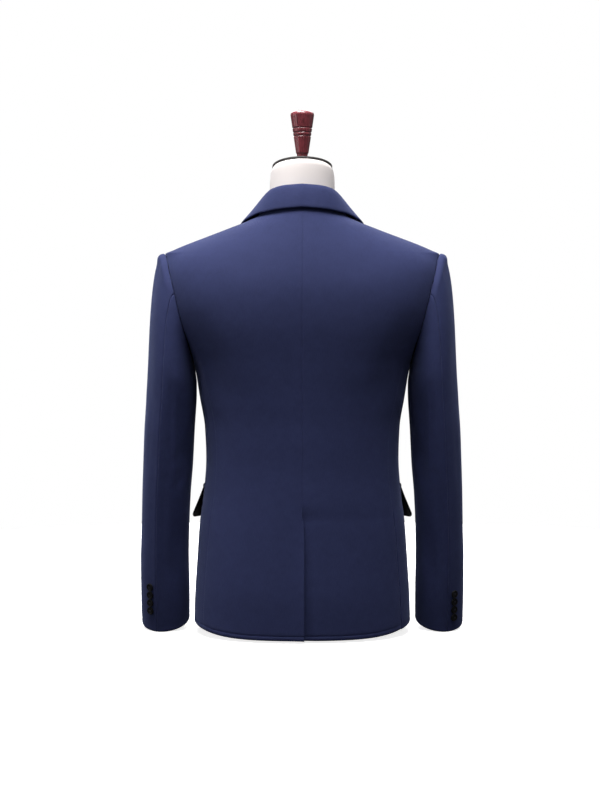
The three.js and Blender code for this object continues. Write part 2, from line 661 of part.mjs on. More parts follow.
function jet(side) {
  const grid = (depth) =>
    spread(0, 1, 1).map((up) =>
      spread(0, 1, 9).map((u) => {
        const theta = mix(FLAP.rear, FLAP.front, u) * degrees;
        const z = FLAP.top + JET.above + JET.height * up;
        return mirrored(frontSurface(side, theta, z, REST.pocket + JET.cloth - depth), side);
      }),
    );
  return wall(grid(0), grid(JET.cloth));
}

// A button: a turned disc with a raised rim, its back on z = 0.
function buttonGeometry({ radius, depth }, segments) {
  const profile = [
    [0, 0], [radius * 0.86, 0], [radius, depth * 0.45], [radius * 0.88, depth],
    [radius * 0.66, depth * 0.72], [0, depth * 0.72],
  ].map(([x, y]) => new THREE.Vector2(x, y));
  return new THREE.LatheGeometry(profile, segments).rotateX(PI / 2);
}
// Turns and places a mesh so that its +Z points along an axis.
function face(mesh, at, axis) {
  mesh.quaternion.setFromUnitVectors(v3(0, 0, 1), axis);
  mesh.position.copy(at);
  return mesh;
}

// Materials
const paint = (color, roughness, metalness = 0) =>
  new THREE.MeshStandardMaterial({ color, roughness, metalness });
const NAVY = paint(0x272d52, 0.85);
const SATIN = paint(0x14151c, 0.35);
const BUTTON = paint(0x1b1a1e, 0.4);
const JERSEY = paint(0xefe6dd, 0.9);
const WOOD = paint(0x4a1218, 0.3);
const BAND = paint(0x3a2a26, 0.5);

const model = new THREE.Group();
function add(name, geometry, material) {
  const mesh = new THREE.Mesh(geometry, material);
  mesh.name = name;
  model.add(mesh);
  return mesh;
}
const flipX = (geometry) => {
  const at = geometry.getAttribute("position");
  const points = Array.from({ length: at.count }, (_, i) =>
    v3(-at.getX(i), at.getY(i), at.getZ(i)),
  );
  const flat = Array.from(geometry.index.array);
  const faces = [];
  for (let i = 0; i < flat.length; i += 3) faces.push(flat.slice(i, i + 3));
  return solid(points, faces);
};

// Jacket, piece by piece on each side
for (const [name, side] of [["left", 1], ["right", -1]]) {
  const place = (geometry) => (side > 0 ? geometry : flipX(geometry));
  add(`back_${name}`, place(bodyPanel(BACK_ROWS, BACK_COLUMNS, backPlace(side))), NAVY);
  add(`side_${name}`, place(bodyPanel(countUp(SIDE_BACK_ROWS), 4, sidePlace)), NAVY);
  add(`front_${name}`, place(bodyPanel(FRONT_ROWS, 9, frontPlace(side))), NAVY);
  add(`lapel_${name}`, place(lapel(side)), SATIN);
  add(`top_sleeve_${name}`, sleevePiece(side, FRONT_SEAM, BACK_SEAM, 11), NAVY);
  add(`under_sleeve_${name}`, sleevePiece(side, BACK_SEAM, 2 * PI + FRONT_SEAM, 8), NAVY);
  add(`flap_${name}`, flap(side), SATIN);
  add(`jet_${name}`, jet(side), SATIN);
  for (let k = 0; k < CUFF_BUTTON.count; k += 1) {
    const phi = CUFF_BUTTON_TURN * degrees;
    const v = 2 - (CUFF_BUTTON[name] + CUFF_BUTTON.pitch * k) / SLEEVE_TOP;
    const normal = mirrored(sleeveNormal(phi, v), side);
    const at = mirrored(sleevePoint(phi, v, -REST.cuffButton), side);
    const button = add(`cuff_button_${name}_${k + 1}`, buttonGeometry(CUFF_BUTTON, 12), BUTTON);
    face(button, at, normal);
  }
}
add("collar_fall", patchWall(fallPoint, spread(-1, 1, 34), spread(0, 1, 6), COLLAR_CLOTH, -1), NAVY);
add("collar_stand", patchWall(standPoint, spread(-1, 1, 28), spread(0, 1, 3), STAND_CLOTH, 1), NAVY);
{
  const at = onFront(1, 0, FRONT_BUTTON.height, REST.frontButton);
  const theta = frontAngleAt(jacket, 0, FRONT_BUTTON.height);
  const normal = ringNormal(jacket, theta, FRONT_BUTTON.height);
  face(add("front_button", buttonGeometry(FRONT_BUTTON, 16), BUTTON), at, normal);
}

// Dress form: body and neck in one, its top tilted forward
const NECK_TOP = { z: 738, tilt: 14 * degrees, from: 690 };
function formBody() {
  const columns = 28;
  const rows = levels(
    [0, 14, 1], [14, 220, 4], [220, 530, 8], [530, 596, 3], [596, 660, 6], [660, NECK_TOP.z, 6],
  );
  const points = rows.flatMap((z) =>
    Array.from({ length: columns }, (_, j) => tiltNeck(ringPoint(form, (2 * PI * j) / columns, z))),
  );
  const faces = [];
  for (let i = 0; i + 1 < rows.length; i += 1)
    for (let j = 0; j < columns; j += 1) {
      const [a, b] = [i * columns + j, i * columns + ((j + 1) % columns)];
      faces.push([a, b, b + columns], [a, b + columns, a + columns]);
    }
  const foot = points.push(v3(0, 0, 0)) - 1;
  const top = points.push(v3(0, form.ridge(NECK_TOP.z), NECK_TOP.z)) - 1;
  const last = (rows.length - 1) * columns;
  for (let j = 0; j < columns; j += 1) {
    const next = (j + 1) % columns;
    faces.push([foot, next, j], [top, last + j, last + next]);
  }
  return solid(points, faces);
}
function tiltNeck(point) {
  const share = smooth(NECK_TOP.from, NECK_TOP.z, point.z);
  point.z += share * Math.tan(NECK_TOP.tilt) * (point.y - form.ridge(NECK_TOP.z));
  return point;
}
add("form_body", formBody(), JERSEY);

// The dark plate on the neck, and the turned finial that stands on its middle.
function turned(rows, segments) {
  const profile = rows.map(([radius, z]) => new THREE.Vector2(radius, z));
  return new THREE.LatheGeometry(profile, segments).rotateX(PI / 2);
}
const PLATE = { side: 48.2, depth: 47, thick: 4.8, middle: 5.4 };
const plateRows = [
  [0, 0], [0.98, 0], [1, 0.8], [0.99, PLATE.thick], [0.5, 5], [0, PLATE.middle],
];
const plate = add("neck_cap", turned(plateRows, 28), BAND);
plate.geometry.scale(PLATE.side, PLATE.depth, 1);
plate.position.set(0, form.ridge(NECK_TOP.z), NECK_TOP.z + REST.cap);
plate.rotation.x = NECK_TOP.tilt;

const FINIAL_LIFT = 3.2; // its flat foot clears the tilted plate
const FINIAL = { stem: 8.6, foot: 10.1, head: 18.9, from: 17, to: 77, height: 85 };
const finialRadius = (h) =>
  mix(FINIAL.foot, FINIAL.head, (h - FINIAL.from) / (FINIAL.to - FINIAL.from));
const finialGrooves = [44, 49.7, 56.7].flatMap((h) => [
  [finialRadius(h - 1.4), h - 1.4],
  [finialRadius(h) - 1, h],
  [finialRadius(h + 1.4), h + 1.4],
]);
const finialRows = [
  [0, 0], [FINIAL.foot + 2, 0], [FINIAL.foot + 2, 2.5], [FINIAL.stem, 6],
  [FINIAL.stem, FINIAL.from - 2], [FINIAL.foot, FINIAL.from], ...finialGrooves,
  [FINIAL.head, FINIAL.to], [18.2, 80.5], [15.5, 83.4], [10, 84.7], [0, FINIAL.height],
];
const finial = add("finial", turned(finialRows, 20), WOOD);
const finialFoot = NECK_TOP.z + REST.cap + PLATE.middle + FINIAL_LIFT;
finial.position.set(0, form.ridge(NECK_TOP.z), finialFoot);

export default model;
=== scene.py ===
# A man's navy dinner jacket, closed on a limbless dress form, for the render.
# Lengths are in millimetres until a mesh is made, and in metres from there on.
# The jacket faces -Y and its wearer's left is +X.
import math

import bpy
import numpy as np
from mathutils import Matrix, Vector


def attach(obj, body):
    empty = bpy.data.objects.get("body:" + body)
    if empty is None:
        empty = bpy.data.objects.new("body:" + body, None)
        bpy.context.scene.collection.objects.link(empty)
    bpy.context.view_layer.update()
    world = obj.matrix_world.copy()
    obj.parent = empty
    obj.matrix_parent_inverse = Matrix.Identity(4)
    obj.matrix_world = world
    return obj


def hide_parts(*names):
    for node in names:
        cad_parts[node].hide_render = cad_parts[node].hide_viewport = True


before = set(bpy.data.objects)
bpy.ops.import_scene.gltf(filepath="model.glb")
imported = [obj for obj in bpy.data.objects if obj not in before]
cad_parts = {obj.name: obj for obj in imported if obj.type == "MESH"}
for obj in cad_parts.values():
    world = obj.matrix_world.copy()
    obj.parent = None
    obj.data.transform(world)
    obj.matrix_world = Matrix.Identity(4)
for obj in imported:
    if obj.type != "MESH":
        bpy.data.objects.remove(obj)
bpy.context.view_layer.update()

PI = math.pi
DEGREE = PI / 180
MM = 0.001

# Sizes that the solids have too
CLOTH = 2.0
SLEEVE_CLOTH = 1.8
HEM_BACK = 5
HEM_RISE = 13
VENT_TOP = 178
VENT_UNDERLAP = 38
ARMPIT = 425
SHOULDER_POINT = 601
NECK_POINT = 662
NAPE = 678
FRONT_OVERLAP = 18
LAPEL_BREAK = 300
GORGE = 632
LAP_LIFT = 5.6


def mix(a, b, t):
    return a + (b - a) * t


def smooth(start, end, x):
    t = np.clip((np.asarray(x, float) - start) / (end - start), 0, 1)
    return t * t * (3 - 2 * t)


def unit(v):
    return v / np.maximum(np.linalg.norm(v, axis=-1, keepdims=True), 1e-12)


def stack(x, y, z):
    return np.stack(np.broadcast_arrays(x, y, z), -1).astype(float)


def through(rows, column):
    """A smooth curve through a table's rows, with no overshoot. Each row starts with its height."""
    at = np.array([row[0] for row in rows], float)
    value = np.array([row[column] for row in rows], float)
    slope = np.diff(value) / np.diff(at)
    before, after = slope[:-1], slope[1:]
    same = before * after > 0
    total = np.where(same, before + after, 1)
    inside = np.where(same, 2 * before * after / total, 0)
    tangent = np.concatenate(([slope[0]], inside, [slope[-1]]))

    def curve(x):
        x = np.clip(np.asarray(x, float), at[0], at[-1])
        i = np.clip(np.searchsorted(at, x, side="right") - 1, 0, len(at) - 2)
        h = at[i + 1] - at[i]
        t = (x - at[i]) / h
        return (
            value[i] * (1 + 2 * t) * (1 - t) ** 2
            + tangent[i] * h * t * (1 - t) ** 2
            + value[i + 1] * t * t * (3 - 2 * t)
            + tangent[i + 1] * h * t * t * (t - 1)
        )

    return curve


class Curves:
    """One smooth curve for each named column of a table."""

    def __init__(self, names, rows):
        for i, name in enumerate(names):
            setattr(self, name, through(rows, i + 1))


BODY_COLUMNS = ["side", "back", "front", "ridge", "square"]
jacket = Curves(BODY_COLUMNS, [
    [0, 172.5, 118, 123, 0, 2.3],
    [60, 171, 118.5, 121.5, 0, 2.3],
    [115, 167.5, 117, 119, 0, 2.3],
    [170, 163.5, 114.5, 116, 0, 2.3],
    [222, 157, 112, 113, 0, 2.3],
    [275, 153.5, 110.5, 112, 1, 2.3],
    [325, 155.5, 110.5, 115, 2, 2.3],
    [371, 163, 112, 120, 3, 2.3],
    [425, 173, 115, 125, 4, 2.4],
    [455, 186, 117, 126, 4, 2.4],
    [496, 205, 119, 122, 5, 2.35],
    [540, 216.5, 117, 108, 5, 2.2],
    [573, 220, 110, 88, 6, 2],
    [601, 218.5, 101, 66, 6, 1.75],
    [607, 206, 99, 60, 6, 1.72],
    [614, 190, 96, 54, 6, 1.7],
    [627, 156, 90, 43, 7, 1.72],
    [640, 121.5, 84, 31, 7, 1.8],
    [652, 90, 78, 22, 8, 1.95],
    [662, 70.5, 73, 17, 8, 2.05],
    [678, 60, 64, 10, 8, 2.1],
])
form = Curves(BODY_COLUMNS, [
    [0, 137, 84, 90, 0, 2.2],
    [14, 146, 94, 99, 0, 2.2],
    [60, 151, 101, 104, 0, 2.2],
    [115, 149, 99, 103, 0, 2.2],
    [170, 146, 93, 100, 0, 2.2],
    [222, 142, 86, 98, 0, 2.2],
    [275, 140, 80, 98, 1, 2.2],
    [325, 143, 83, 101, 2, 2.2],
    [371, 149, 91, 106, 3, 2.2],
    [425, 155, 103, 111, 4, 2.2],
    [480, 163, 110, 109, 5, 2.2],
    [530, 178, 109, 98, 5, 2.2],
    [565, 192, 103, 80, 6, 1.9],
    [585, 199, 97, 66, 6, 1.72],
    [596, 200, 93, 57, 6, 1.62],
    [604, 195, 90, 50, 6, 1.58],
    [611, 188.4, 87, 44, 6, 1.56],
    [624, 153.5, 82, 34, 7, 1.58],
    [637, 115.5, 75, 22, 7, 1.65],
    [649, 78, 67, 19, 7, 1.7],
    [660, 59, 60, 26, 5, 1.7],
    [675, 54.4, 53, 36, 2, 1.85],
    [692, 52.4, 49, 43, -1, 2],
    [716, 51.8, 45, 49, -5, 2],
    [731, 50.6, 42, 51, -7, 2],
    [738, 47.4, 39, 51, -8, 2],
])


def ring_point(body, theta, z):
    """The point at angle theta (0 centre back, 90 side, 180 centre front) and height z."""
    power = 2 / body.square(z)
    s, c = np.sin(theta), np.cos(theta)
    x = body.side(z) * np.sign(s) * np.abs(s) ** power
    ridge = body.ridge(z)
    reach = np.where(c > 0, body.back(z) - ridge, -body.front(z) - ridge)
    return stack(x, ridge + reach * np.abs(c) ** power, z)


def ring_normal(body, theta, z):
    turn, rise = 0.004, 0.4
    along = ring_point(body, theta + turn, z) - ring_point(body, theta - turn, z)
    up = ring_point(body, theta, z + rise) - ring_point(body, theta, z - rise)
    return unit(np.cross(up, along))


def angle_at(body, x, z):
    share = np.minimum(1, np.abs(x) / body.side(z))
    return np.sign(x) * np.arcsin(share ** (body.square(z) / 2))


def front_angle_at(body, x, z):
    return PI - angle_at(body, x, z)


# Folds of the body: a straight soft trough, or a ridge where depth is above 0.
# face: 1 on the back, -1 on the front.
FOLD_COLUMNS = ["face", "x0", "z0", "x1", "z1", "width", "depth"]
BODY_FOLDS = [dict(zip(FOLD_COLUMNS, row)) for row in [
    [1, 176, 520, 96, 330, 20, -2.2],
    [1, 150, 470, 118, 250, 16, -1.6],
    [-1, 172, 500, 128, 350, 18, -2.2],
    [-1, 16, 282, 104, 326, 15, -1.8],
    [-1, 16, 280, 96, 236, 16, -1.6],
]]
# Finer ones, which the solids leave out. side 0 is both sides.
FINE_FOLD_COLUMNS = ["side", *FOLD_COLUMNS]
FINE_FOLDS = [dict(zip(FINE_FOLD_COLUMNS, row)) for row in [
    [1, 1, 188, 486, 150, 372, 7, -0.9],
    [-1, 1, 190, 478, 142, 380, 8, -1.0],
    [1, 1, 168, 440, 140, 330, 6, -0.6],
    [-1, 1, 172, 452, 150, 350, 6, -0.7],
    [0, 1, 120, 600, 60, 560, 14, -0.5],
    [1, -1, 24, 276, 88, 300, 6, -0.8],
    [-1, -1, 20, 279, 92, 307, 6, -0.9],
    [0, -1, 22, 272, 80, 262, 6, -0.6],
    [1, -1, 20, 268, 72, 226, 7, -0.8],
    [-1, -1, 20, 266, 78, 216, 7, -0.7],
    [1, -1, 180, 490, 150, 400, 8, -1.0],
    [-1, -1, 178, 482, 146, 390, 8, -0.9],
]]


def fold_depth(points, side):
    face = np.where(points[..., 1] > 4, 1, -1)
    depth = np.zeros(points.shape[:-1])
    for fold in [*BODY_FOLDS, *FINE_FOLDS]:
        if fold.get("side", 0) not in (0, side):
            continue
        dx, dz = fold["x1"] - fold["x0"], fold["z1"] - fold["z0"]
        px, pz = np.abs(points[..., 0]) - fold["x0"], points[..., 2] - fold["z0"]
        length = math.hypot(dx, dz)
        along = (px * dx + pz * dz) / length**2
        across = (px * dz - pz * dx) / length
        ends = smooth(0, 0.3, along) * smooth(1, 0.6, along)
        trough = fold["depth"] * ends * np.exp(-((across / fold["width"]) ** 2))
        depth += np.where(face == fold["face"], trough, 0)
    return depth


def ripple(a, b, seed):
    """A soft uneven wave, from -1 to 1, of two lengths in millimetres."""
    turn = 1.7 * seed
    return (
        np.sin(a / 31 + 0.6 * np.sin(b / 47 + turn) + turn)
        * np.sin(b / 53 + 0.8 * np.sin(a / 61 - turn) + 2 * turn)
    )


# Hem, armhole, neck seam and side seams, as lines on the rings
ARMHOLE_BACK = 24 * DEGREE
ARMHOLE_FRONT = 33 * DEGREE
ARMHOLE_MIDDLE = (SHOULDER_POINT + ARMPIT) / 2
ARMHOLE_HALF = (SHOULDER_POINT - ARMPIT) / 2
ARMHOLE_POWER = 1.12
SIDE_BACK_TOP = 460
SIDE_FRONT_TOP = 446


def hem_at(theta):
    return HEM_BACK + HEM_RISE * np.abs(np.sin(theta)) ** 4.5


def near_hem(z, theta):
    return z + hem_at(theta) * (1 - smooth(0, 150, z))


def armhole_angle(sine, face):
    reach = np.where(face > 0, ARMHOLE_BACK, ARMHOLE_FRONT)
    return PI / 2 - face * reach * np.abs(sine) ** ARMHOLE_POWER


def armhole_edge(z, face):
    share = (z - ARMHOLE_MIDDLE) / ARMHOLE_HALF
    return armhole_angle(np.sqrt(np.maximum(0, 1 - share * share)), face)


def armhole_place(phi):
    theta = armhole_angle(np.sin(phi), np.where(np.sin(phi) >= 0, 1, -1))
    return theta, ARMHOLE_MIDDLE + ARMHOLE_HALF * np.cos(phi)


def armhole_floor(theta):
    reach = np.where(theta < PI / 2, ARMHOLE_BACK, ARMHOLE_FRONT)
    sine = (np.abs(theta - PI / 2) / reach) ** (1 / ARMHOLE_POWER)
    return ARMHOLE_MIDDLE - ARMHOLE_HALF * np.sqrt(np.maximum(0, 1 - sine * sine))


def neck_seam_at(theta):
    return mix(NAPE, NECK_POINT, np.abs(np.sin(np.minimum(theta, PI / 2))) ** 1.6)


side_back_seam = through(
    [[0, 63], [150, 61], [275, 59], [380, 63],
     [SIDE_BACK_TOP, float(armhole_edge(SIDE_BACK_TOP, 1)) / DEGREE]], 1)
side_front_seam = through(
    [[0, 112], [275, 113], [380, 112],
     [SIDE_FRONT_TOP, float(armhole_edge(SIDE_FRONT_TOP, -1)) / DEGREE]], 1)
front_edge = through([
    [0, -FRONT_OVERLAP],
    [LAPEL_BREAK - 14, -FRONT_OVERLAP],
    [LAPEL_BREAK, -FRONT_OVERLAP + 1.5],
    [360, -3],
    [460, 19],
    [560, 41],
    [GORGE, 57],
    [650, 63.8],
    [NECK_POINT, 71.3],
], 1)


def cutaway(z):
    top, swing = 215, 62
    return swing * (1 - np.clip(z / top, 0, 1)) ** 2.4


# Where the rows and columns of a piece's grid lie
NEAR_EDGE = [0, 0.5, 1.1, 1.9, 3, 4.5, 6.5]


def stations(start, end, step):
    """Lengths from start to end, close together near both ends."""
    first = [start + d for d in NEAR_EDGE]
    last = [end - d for d in reversed(NEAR_EDGE)]
    count = max(1, round((last[0] - first[-1]) / step))
    return np.array([*first[:-1], *np.linspace(first[-1], last[0], count + 1), *last[1:]])


def run_lengths(points):
    """How far each point of a grid is from its first column and its first row."""
    right = np.linalg.norm(np.diff(points, axis=1), axis=2)
    up = np.linalg.norm(np.diff(points, axis=0), axis=2)
    from_first = np.pad(np.cumsum(right, axis=1), ((0, 0), (1, 0)))
    from_low = np.pad(np.cumsum(up, axis=0), ((1, 0), (0, 0)))
    return from_first, from_low


SEAM_DIP = {"seam": 1.1, "faint seam": 0.16}
SEAM_REACH = 2.4
PRESS_DIP = 0.5
PRESS_REACH = 3.2
HEM_STITCH = 6.2


def edge_lift(points, kinds, seed):
    """How far the cloth turns in at its borders: down into a seam, or over a folded edge."""
    from_first, from_low = run_lengths(points)
    away = {
        "first": from_first,
        "last": from_first[:, -1:] - from_first,
        "low": from_low,
        "high": from_low[-1:] - from_low,
    }
    lift = np.zeros(from_first.shape)
    for side, kind in kinds.items():
        gap = away[side]
        along = from_low if side in ("first", "last") else from_first
        if kind in SEAM_DIP:
            lift -= SEAM_DIP[kind] * np.clip(1 - gap / SEAM_REACH, 0, 1) ** 2
            pucker = np.sin(along / 4.6 + 2.2 * np.sin(along / 17 + seed)) * np.sin(along / 29 + seed)
            lift += 0.16 * SEAM_DIP[kind] * pucker * np.exp(-gap / 7) * np.clip(gap / 2, 0, 1)
        elif kind == "edge":
            lift -= PRESS_DIP * np.clip(1 - gap / PRESS_REACH, 0, 1) ** 2
        elif kind == "hem":
            lift -= PRESS_DIP * np.clip(1 - gap / PRESS_REACH, 0, 1) ** 2
            lift -= 0.4 * np.exp(-(((gap - HEM_STITCH) / 0.9) ** 2))
    return lift


# Meshes
def new_object(name, points, faces, uvs, marks, materials):
    """A smooth mesh from millimetre points, turned so that its faces point out."""
    points = np.asarray(points, float) * MM
    first, second, third = (points[[f[k] for f in faces]] for k in range(3))
    if np.einsum("ij,ij->i", first, np.cross(second, third)).sum() < 0:
        faces = [tuple(reversed(f)) for f in faces]
    mesh = bpy.data.meshes.new(name)
    mesh.from_pydata(points.tolist(), [], faces)
    mesh.polygons.foreach_set("use_smooth", np.ones(len(faces), bool))
    mesh.polygons.foreach_set("material_index", np.asarray(marks, np.int32))
    if uvs is not None:
        corner = np.empty(len(mesh.loops), np.int32)
        mesh.loops.foreach_get("vertex_index", corner)
        layer = mesh.uv_layers.new(name="grain")
        layer.data.foreach_set("uv", (np.asarray(uvs)[corner] * MM).astype(np.float32).ravel())
    mesh.update()
    piece = bpy.data.objects.new(name, mesh)
    bpy.context.scene.collection.objects.link(piece)
    for material in materials:
        mesh.materials.append(material)
    return piece


RIM_STEPS = 5


def shell(name, base, normal, lift, cloth, kinds, materials, side=1, grain=0, inner_lift=None):
    """Cloth between an outer grid and the same grid moved in, its rim rounded where it is an edge.
    kinds says for each border whether it is a seam, an edge, a hem or bare."""
    outer = base + normal * lift[..., None]
    inside = lift if inner_lift is None else inner_lift
    inner = base + normal * (inside - cloth)[..., None]
    rows, columns = outer.shape[:2]
    away = np.zeros(outer.shape)
    bulge = np.zeros((rows, columns))
    borders = {
        "low": (np.s_[0, :], np.s_[1, :]),
        "high": (np.s_[-1, :], np.s_[-2, :]),
        "first": (np.s_[:, 0], np.s_[:, 1]),
        "last": (np.s_[:, -1], np.s_[:, -2]),
    }
    for border, (edge, next_to) in borders.items():
        away[edge] += unit(outer[edge] - outer[next_to])
        if kinds[border] in ("edge", "hem"):
            bulge[edge] = 0.42 * cloth
    away = unit(away)
    number = np.arange(rows * columns).reshape(rows, columns)
    loop = np.concatenate([number[0, :-1], number[:-1, -1], number[-1, :0:-1], number[:0:-1, 0]])
    flat_outer, flat_inner = outer.reshape(-1, 3), inner.reshape(-1, 3)
    top, bottom = flat_outer[loop], flat_inner[loop]
    middle, half = (top + bottom) / 2, (top - bottom) / 2
    reach = away.reshape(-1, 3)[loop] * bulge.ravel()[loop][:, None]
    rings = [
        middle + half * math.cos(PI * k / RIM_STEPS) + reach * math.sin(PI * k / RIM_STEPS)
        for k in range(1, RIM_STEPS)
    ]
    size = rows * columns
    a, b = number[:-1, :-1].ravel(), number[:-1, 1:].ravel()
    c, d = number[1:, 1:].ravel(), number[1:, :-1].ravel()
    faces = [np.stack([a, b, c, d], 1), np.stack([a, d, c, b], 1) + size]
    lines = [loop, *(2 * size + k * len(loop) + np.arange(len(loop)) for k in range(RIM_STEPS - 1))]
    lines.append(loop + size)
    for near, far in zip(lines, lines[1:]):
        faces.append(np.stack([near, far, np.roll(far, -1), np.roll(near, -1)], 1))
    faces = np.concatenate(faces)
    marks = np.zeros(len(faces), int)
    marks[len(a):2 * len(a)] = 1
    from_first, from_low = run_lengths(base)
    uv = np.stack([from_first + grain, from_low], -1).reshape(-1, 2)
    points = np.concatenate([flat_outer, flat_inner, *rings])
    uvs = np.concatenate([uv, uv, *[uv[loop]] * (RIM_STEPS - 1)])
    points[:, 0] *= side
    piece = new_object(name, points, faces.tolist(), uvs, marks, materials)
    return piece


# Materials
def material(name, roughness, specular=0.5, sheen=0.0, sheen_tint=None, sheen_roughness=0.5, coat=0.0):
    made = bpy.data.materials.new(name)
    made.use_nodes = True
    shader = made.node_tree.nodes["Principled BSDF"]
    shader.inputs["Roughness"].default_value = roughness
    shader.inputs["Specular IOR Level"].default_value = specular
    shader.inputs["Sheen Weight"].default_value = sheen
    shader.inputs["Sheen Roughness"].default_value = sheen_roughness
    if sheen_tint is not None:
        shader.inputs["Sheen Tint"].default_value = (*sheen_tint, 1)
    shader.inputs["Coat Weight"].default_value = coat
    shader.inputs["Coat Roughness"].default_value = 0.12
    return made, made.node_tree, shader


def add_node(tree, kind, inputs=None, **settings):
    node = tree.nodes.new(kind)
    for key, value in settings.items():
        setattr(node, key, value)
    for key, value in (inputs or {}).items():
        if hasattr(value, "is_output"):
            tree.links.new(value, node.inputs[key])
        else:
            node.inputs[key].default_value = value
    return node


def math_node(tree, operation, *values):
    return add_node(tree, "ShaderNodeMath", dict(enumerate(values)), operation=operation).outputs[0]


def ramp(tree, factor, stops):
    node = add_node(tree, "ShaderNodeValToRGB", {"Fac": factor})
    elements = node.color_ramp.elements
    for element, (at, color) in zip(elements, stops):
        element.position = at
        element.color = (*color, 1)
    for at, color in stops[2:]:
        elements.new(at).color = (*color, 1)
    return node.outputs["Color"]


def noise(tree, vector, scale, detail=3.0, roughness=0.5):
    values = {"Vector": vector, "Scale": scale, "Detail": detail, "Roughness": roughness}
    return add_node(tree, "ShaderNodeTexNoise", values).outputs["Fac"]


def bump(tree, shader, height, strength, distance):
    node = add_node(
        tree, "ShaderNodeBump", {"Height": height, "Strength": strength, "Distance": distance})
    tree.links.new(node.outputs["Normal"], shader.inputs["Normal"])


def twill(tree, grain, pitch, slope):
    """A twill's slanting ribs, crossed by the yarns, from 0 to 1."""
    axis = add_node(tree, "ShaderNodeSeparateXYZ", {0: grain})
    turns = 2 * PI / pitch
    rise = math_node(tree, "MULTIPLY", axis.outputs[1], slope)
    lean = math_node(tree, "ADD", axis.outputs[0], rise)
    rib = math_node(tree, "SINE", math_node(tree, "MULTIPLY", lean, turns))
    yarn = math_node(tree, "SINE", math_node(tree, "MULTIPLY", axis.outputs[1], turns * 1.9))
    both = math_node(tree, "ADD", math_node(tree, "MULTIPLY", rib, 0.35),
                     math_node(tree, "MULTIPLY", yarn, 0.15))
    return math_node(tree, "ADD", both, 0.5)


def suiting(name, color):
    made, tree, shader = material(name, 0.8, specular=0.12, sheen=0.2,
                                  sheen_tint=(0.5, 0.58, 1.0), sheen_roughness=0.4)
    grain = add_node(tree, "ShaderNodeUVMap", uv_map="grain").outputs["UV"]
    place = add_node(tree, "ShaderNodeTexCoord").outputs["Object"]
    weave = twill(tree, grain, 0.0011, 1.0)
    slub = noise(tree, add_node(tree, "ShaderNodeMapping", {"Vector": grain, "Scale": (900, 120, 1)})
                 .outputs[0], 1.0, 2.0)
    cloud = noise(tree, place, 70.0, 4.0, 0.6)
    mixed = math_node(tree, "ADD", math_node(tree, "MULTIPLY", weave, 0.3),
                      math_node(tree, "MULTIPLY", slub, 0.4))
    mixed = math_node(tree, "ADD", mixed, math_node(tree, "MULTIPLY", cloud, 0.35))
    dark = tuple(0.78 * c for c in color)
    light = tuple(1.22 * c for c in color)
    tree.links.new(ramp(tree, mixed, [(0.25, dark), (0.8, light)]), shader.inputs["Base Color"])
    height = math_node(tree, "ADD", weave, math_node(tree, "MULTIPLY", slub, 0.6))
    bump(tree, shader, height, 0.35, 0.00022)
    return made


def satin(name, color):
    made, tree, shader = material(name, 0.4, specular=0.14, sheen=0.02, sheen_roughness=0.3)
    grain = add_node(tree, "ShaderNodeUVMap", uv_map="grain").outputs["UV"]
    rib = noise(tree, add_node(tree, "ShaderNodeMapping", {"Vector": grain, "Scale": (160, 2600, 1)})
                .outputs[0], 1.0, 2.0)
    place = add_node(tree, "ShaderNodeTexCoord").outputs["Object"]
    cloud = noise(tree, place, 22.0)
    mixed = math_node(tree, "ADD", math_node(tree, "MULTIPLY", rib, 0.5),
                      math_node(tree, "MULTIPLY", cloud, 0.5))
    dark = tuple(0.75 * c for c in color)
    light = tuple(1.3 * c for c in color)
    tree.links.new(ramp(tree, mixed, [(0.3, dark), (0.75, light)]), shader.inputs["Base Color"])
    bump(tree, shader, rib, 0.25, 0.00015)
    return made


def horn(name, color):
    made, tree, shader = material(name, 0.4, specular=0.16)
    place = add_node(tree, "ShaderNodeTexCoord").outputs["Object"]
    swirl = noise(tree, place, 160.0, 4.0, 0.6)
    dark = tuple(0.6 * c for c in color)
    light = tuple(1.9 * c for c in color)
    tree.links.new(ramp(tree, swirl, [(0.35, dark), (0.75, light)]), shader.inputs["Base Color"])
    bump(tree, shader, swirl, 0.12, 0.0003)
    return made


def jersey(name, color):
    made, tree, shader = material(name, 0.85, specular=0.25, sheen=0.2, sheen_roughness=0.5)
    place = add_node(tree, "ShaderNodeTexCoord").outputs["Object"]
    grain = add_node(tree, "ShaderNodeUVMap", uv_map="grain").outputs["UV"]
    knit = twill(tree, grain, 0.0014, 0.0)
    cloud = noise(tree, place, 18.0)
    mixed = math_node(tree, "ADD", math_node(tree, "MULTIPLY", knit, 0.3),
                      math_node(tree, "MULTIPLY", cloud, 0.7))
    dark = tuple(0.94 * c for c in color)
    tree.links.new(ramp(tree, mixed, [(0.3, dark), (0.7, color)]), shader.inputs["Base Color"])
    bump(tree, shader, knit, 0.3, 0.0002)
    return made


def mahogany(name, color):
    made, tree, shader = material(name, 0.3, specular=0.5, coat=0.8)
    place = add_node(tree, "ShaderNodeTexCoord").outputs["Object"]
    long = add_node(tree, "ShaderNodeMapping", {"Vector": place, "Scale": (520, 520, 34)}).outputs[0]
    streak = noise(tree, long, 1.0, 5.0, 0.62)
    dark = tuple(0.4 * c for c in color)
    light = tuple(1.7 * c for c in color)
    stops = [(0.3, dark), (0.72, light), (0.5, color)]
    tree.links.new(ramp(tree, streak, stops), shader.inputs["Base Color"])
    bump(tree, shader, streak, 0.08, 0.0003)
    return made


def plain(name, color, roughness):
    made, tree, shader = material(name, roughness)
    place = add_node(tree, "ShaderNodeTexCoord").outputs["Object"]
    cloud = noise(tree, place, 60.0)
    dark = tuple(0.85 * c for c in color)
    tree.links.new(ramp(tree, cloud, [(0.3, dark), (0.7, color)]), shader.inputs["Base Color"])
    bump(tree, shader, cloud, 0.1, 0.0002)
    return made


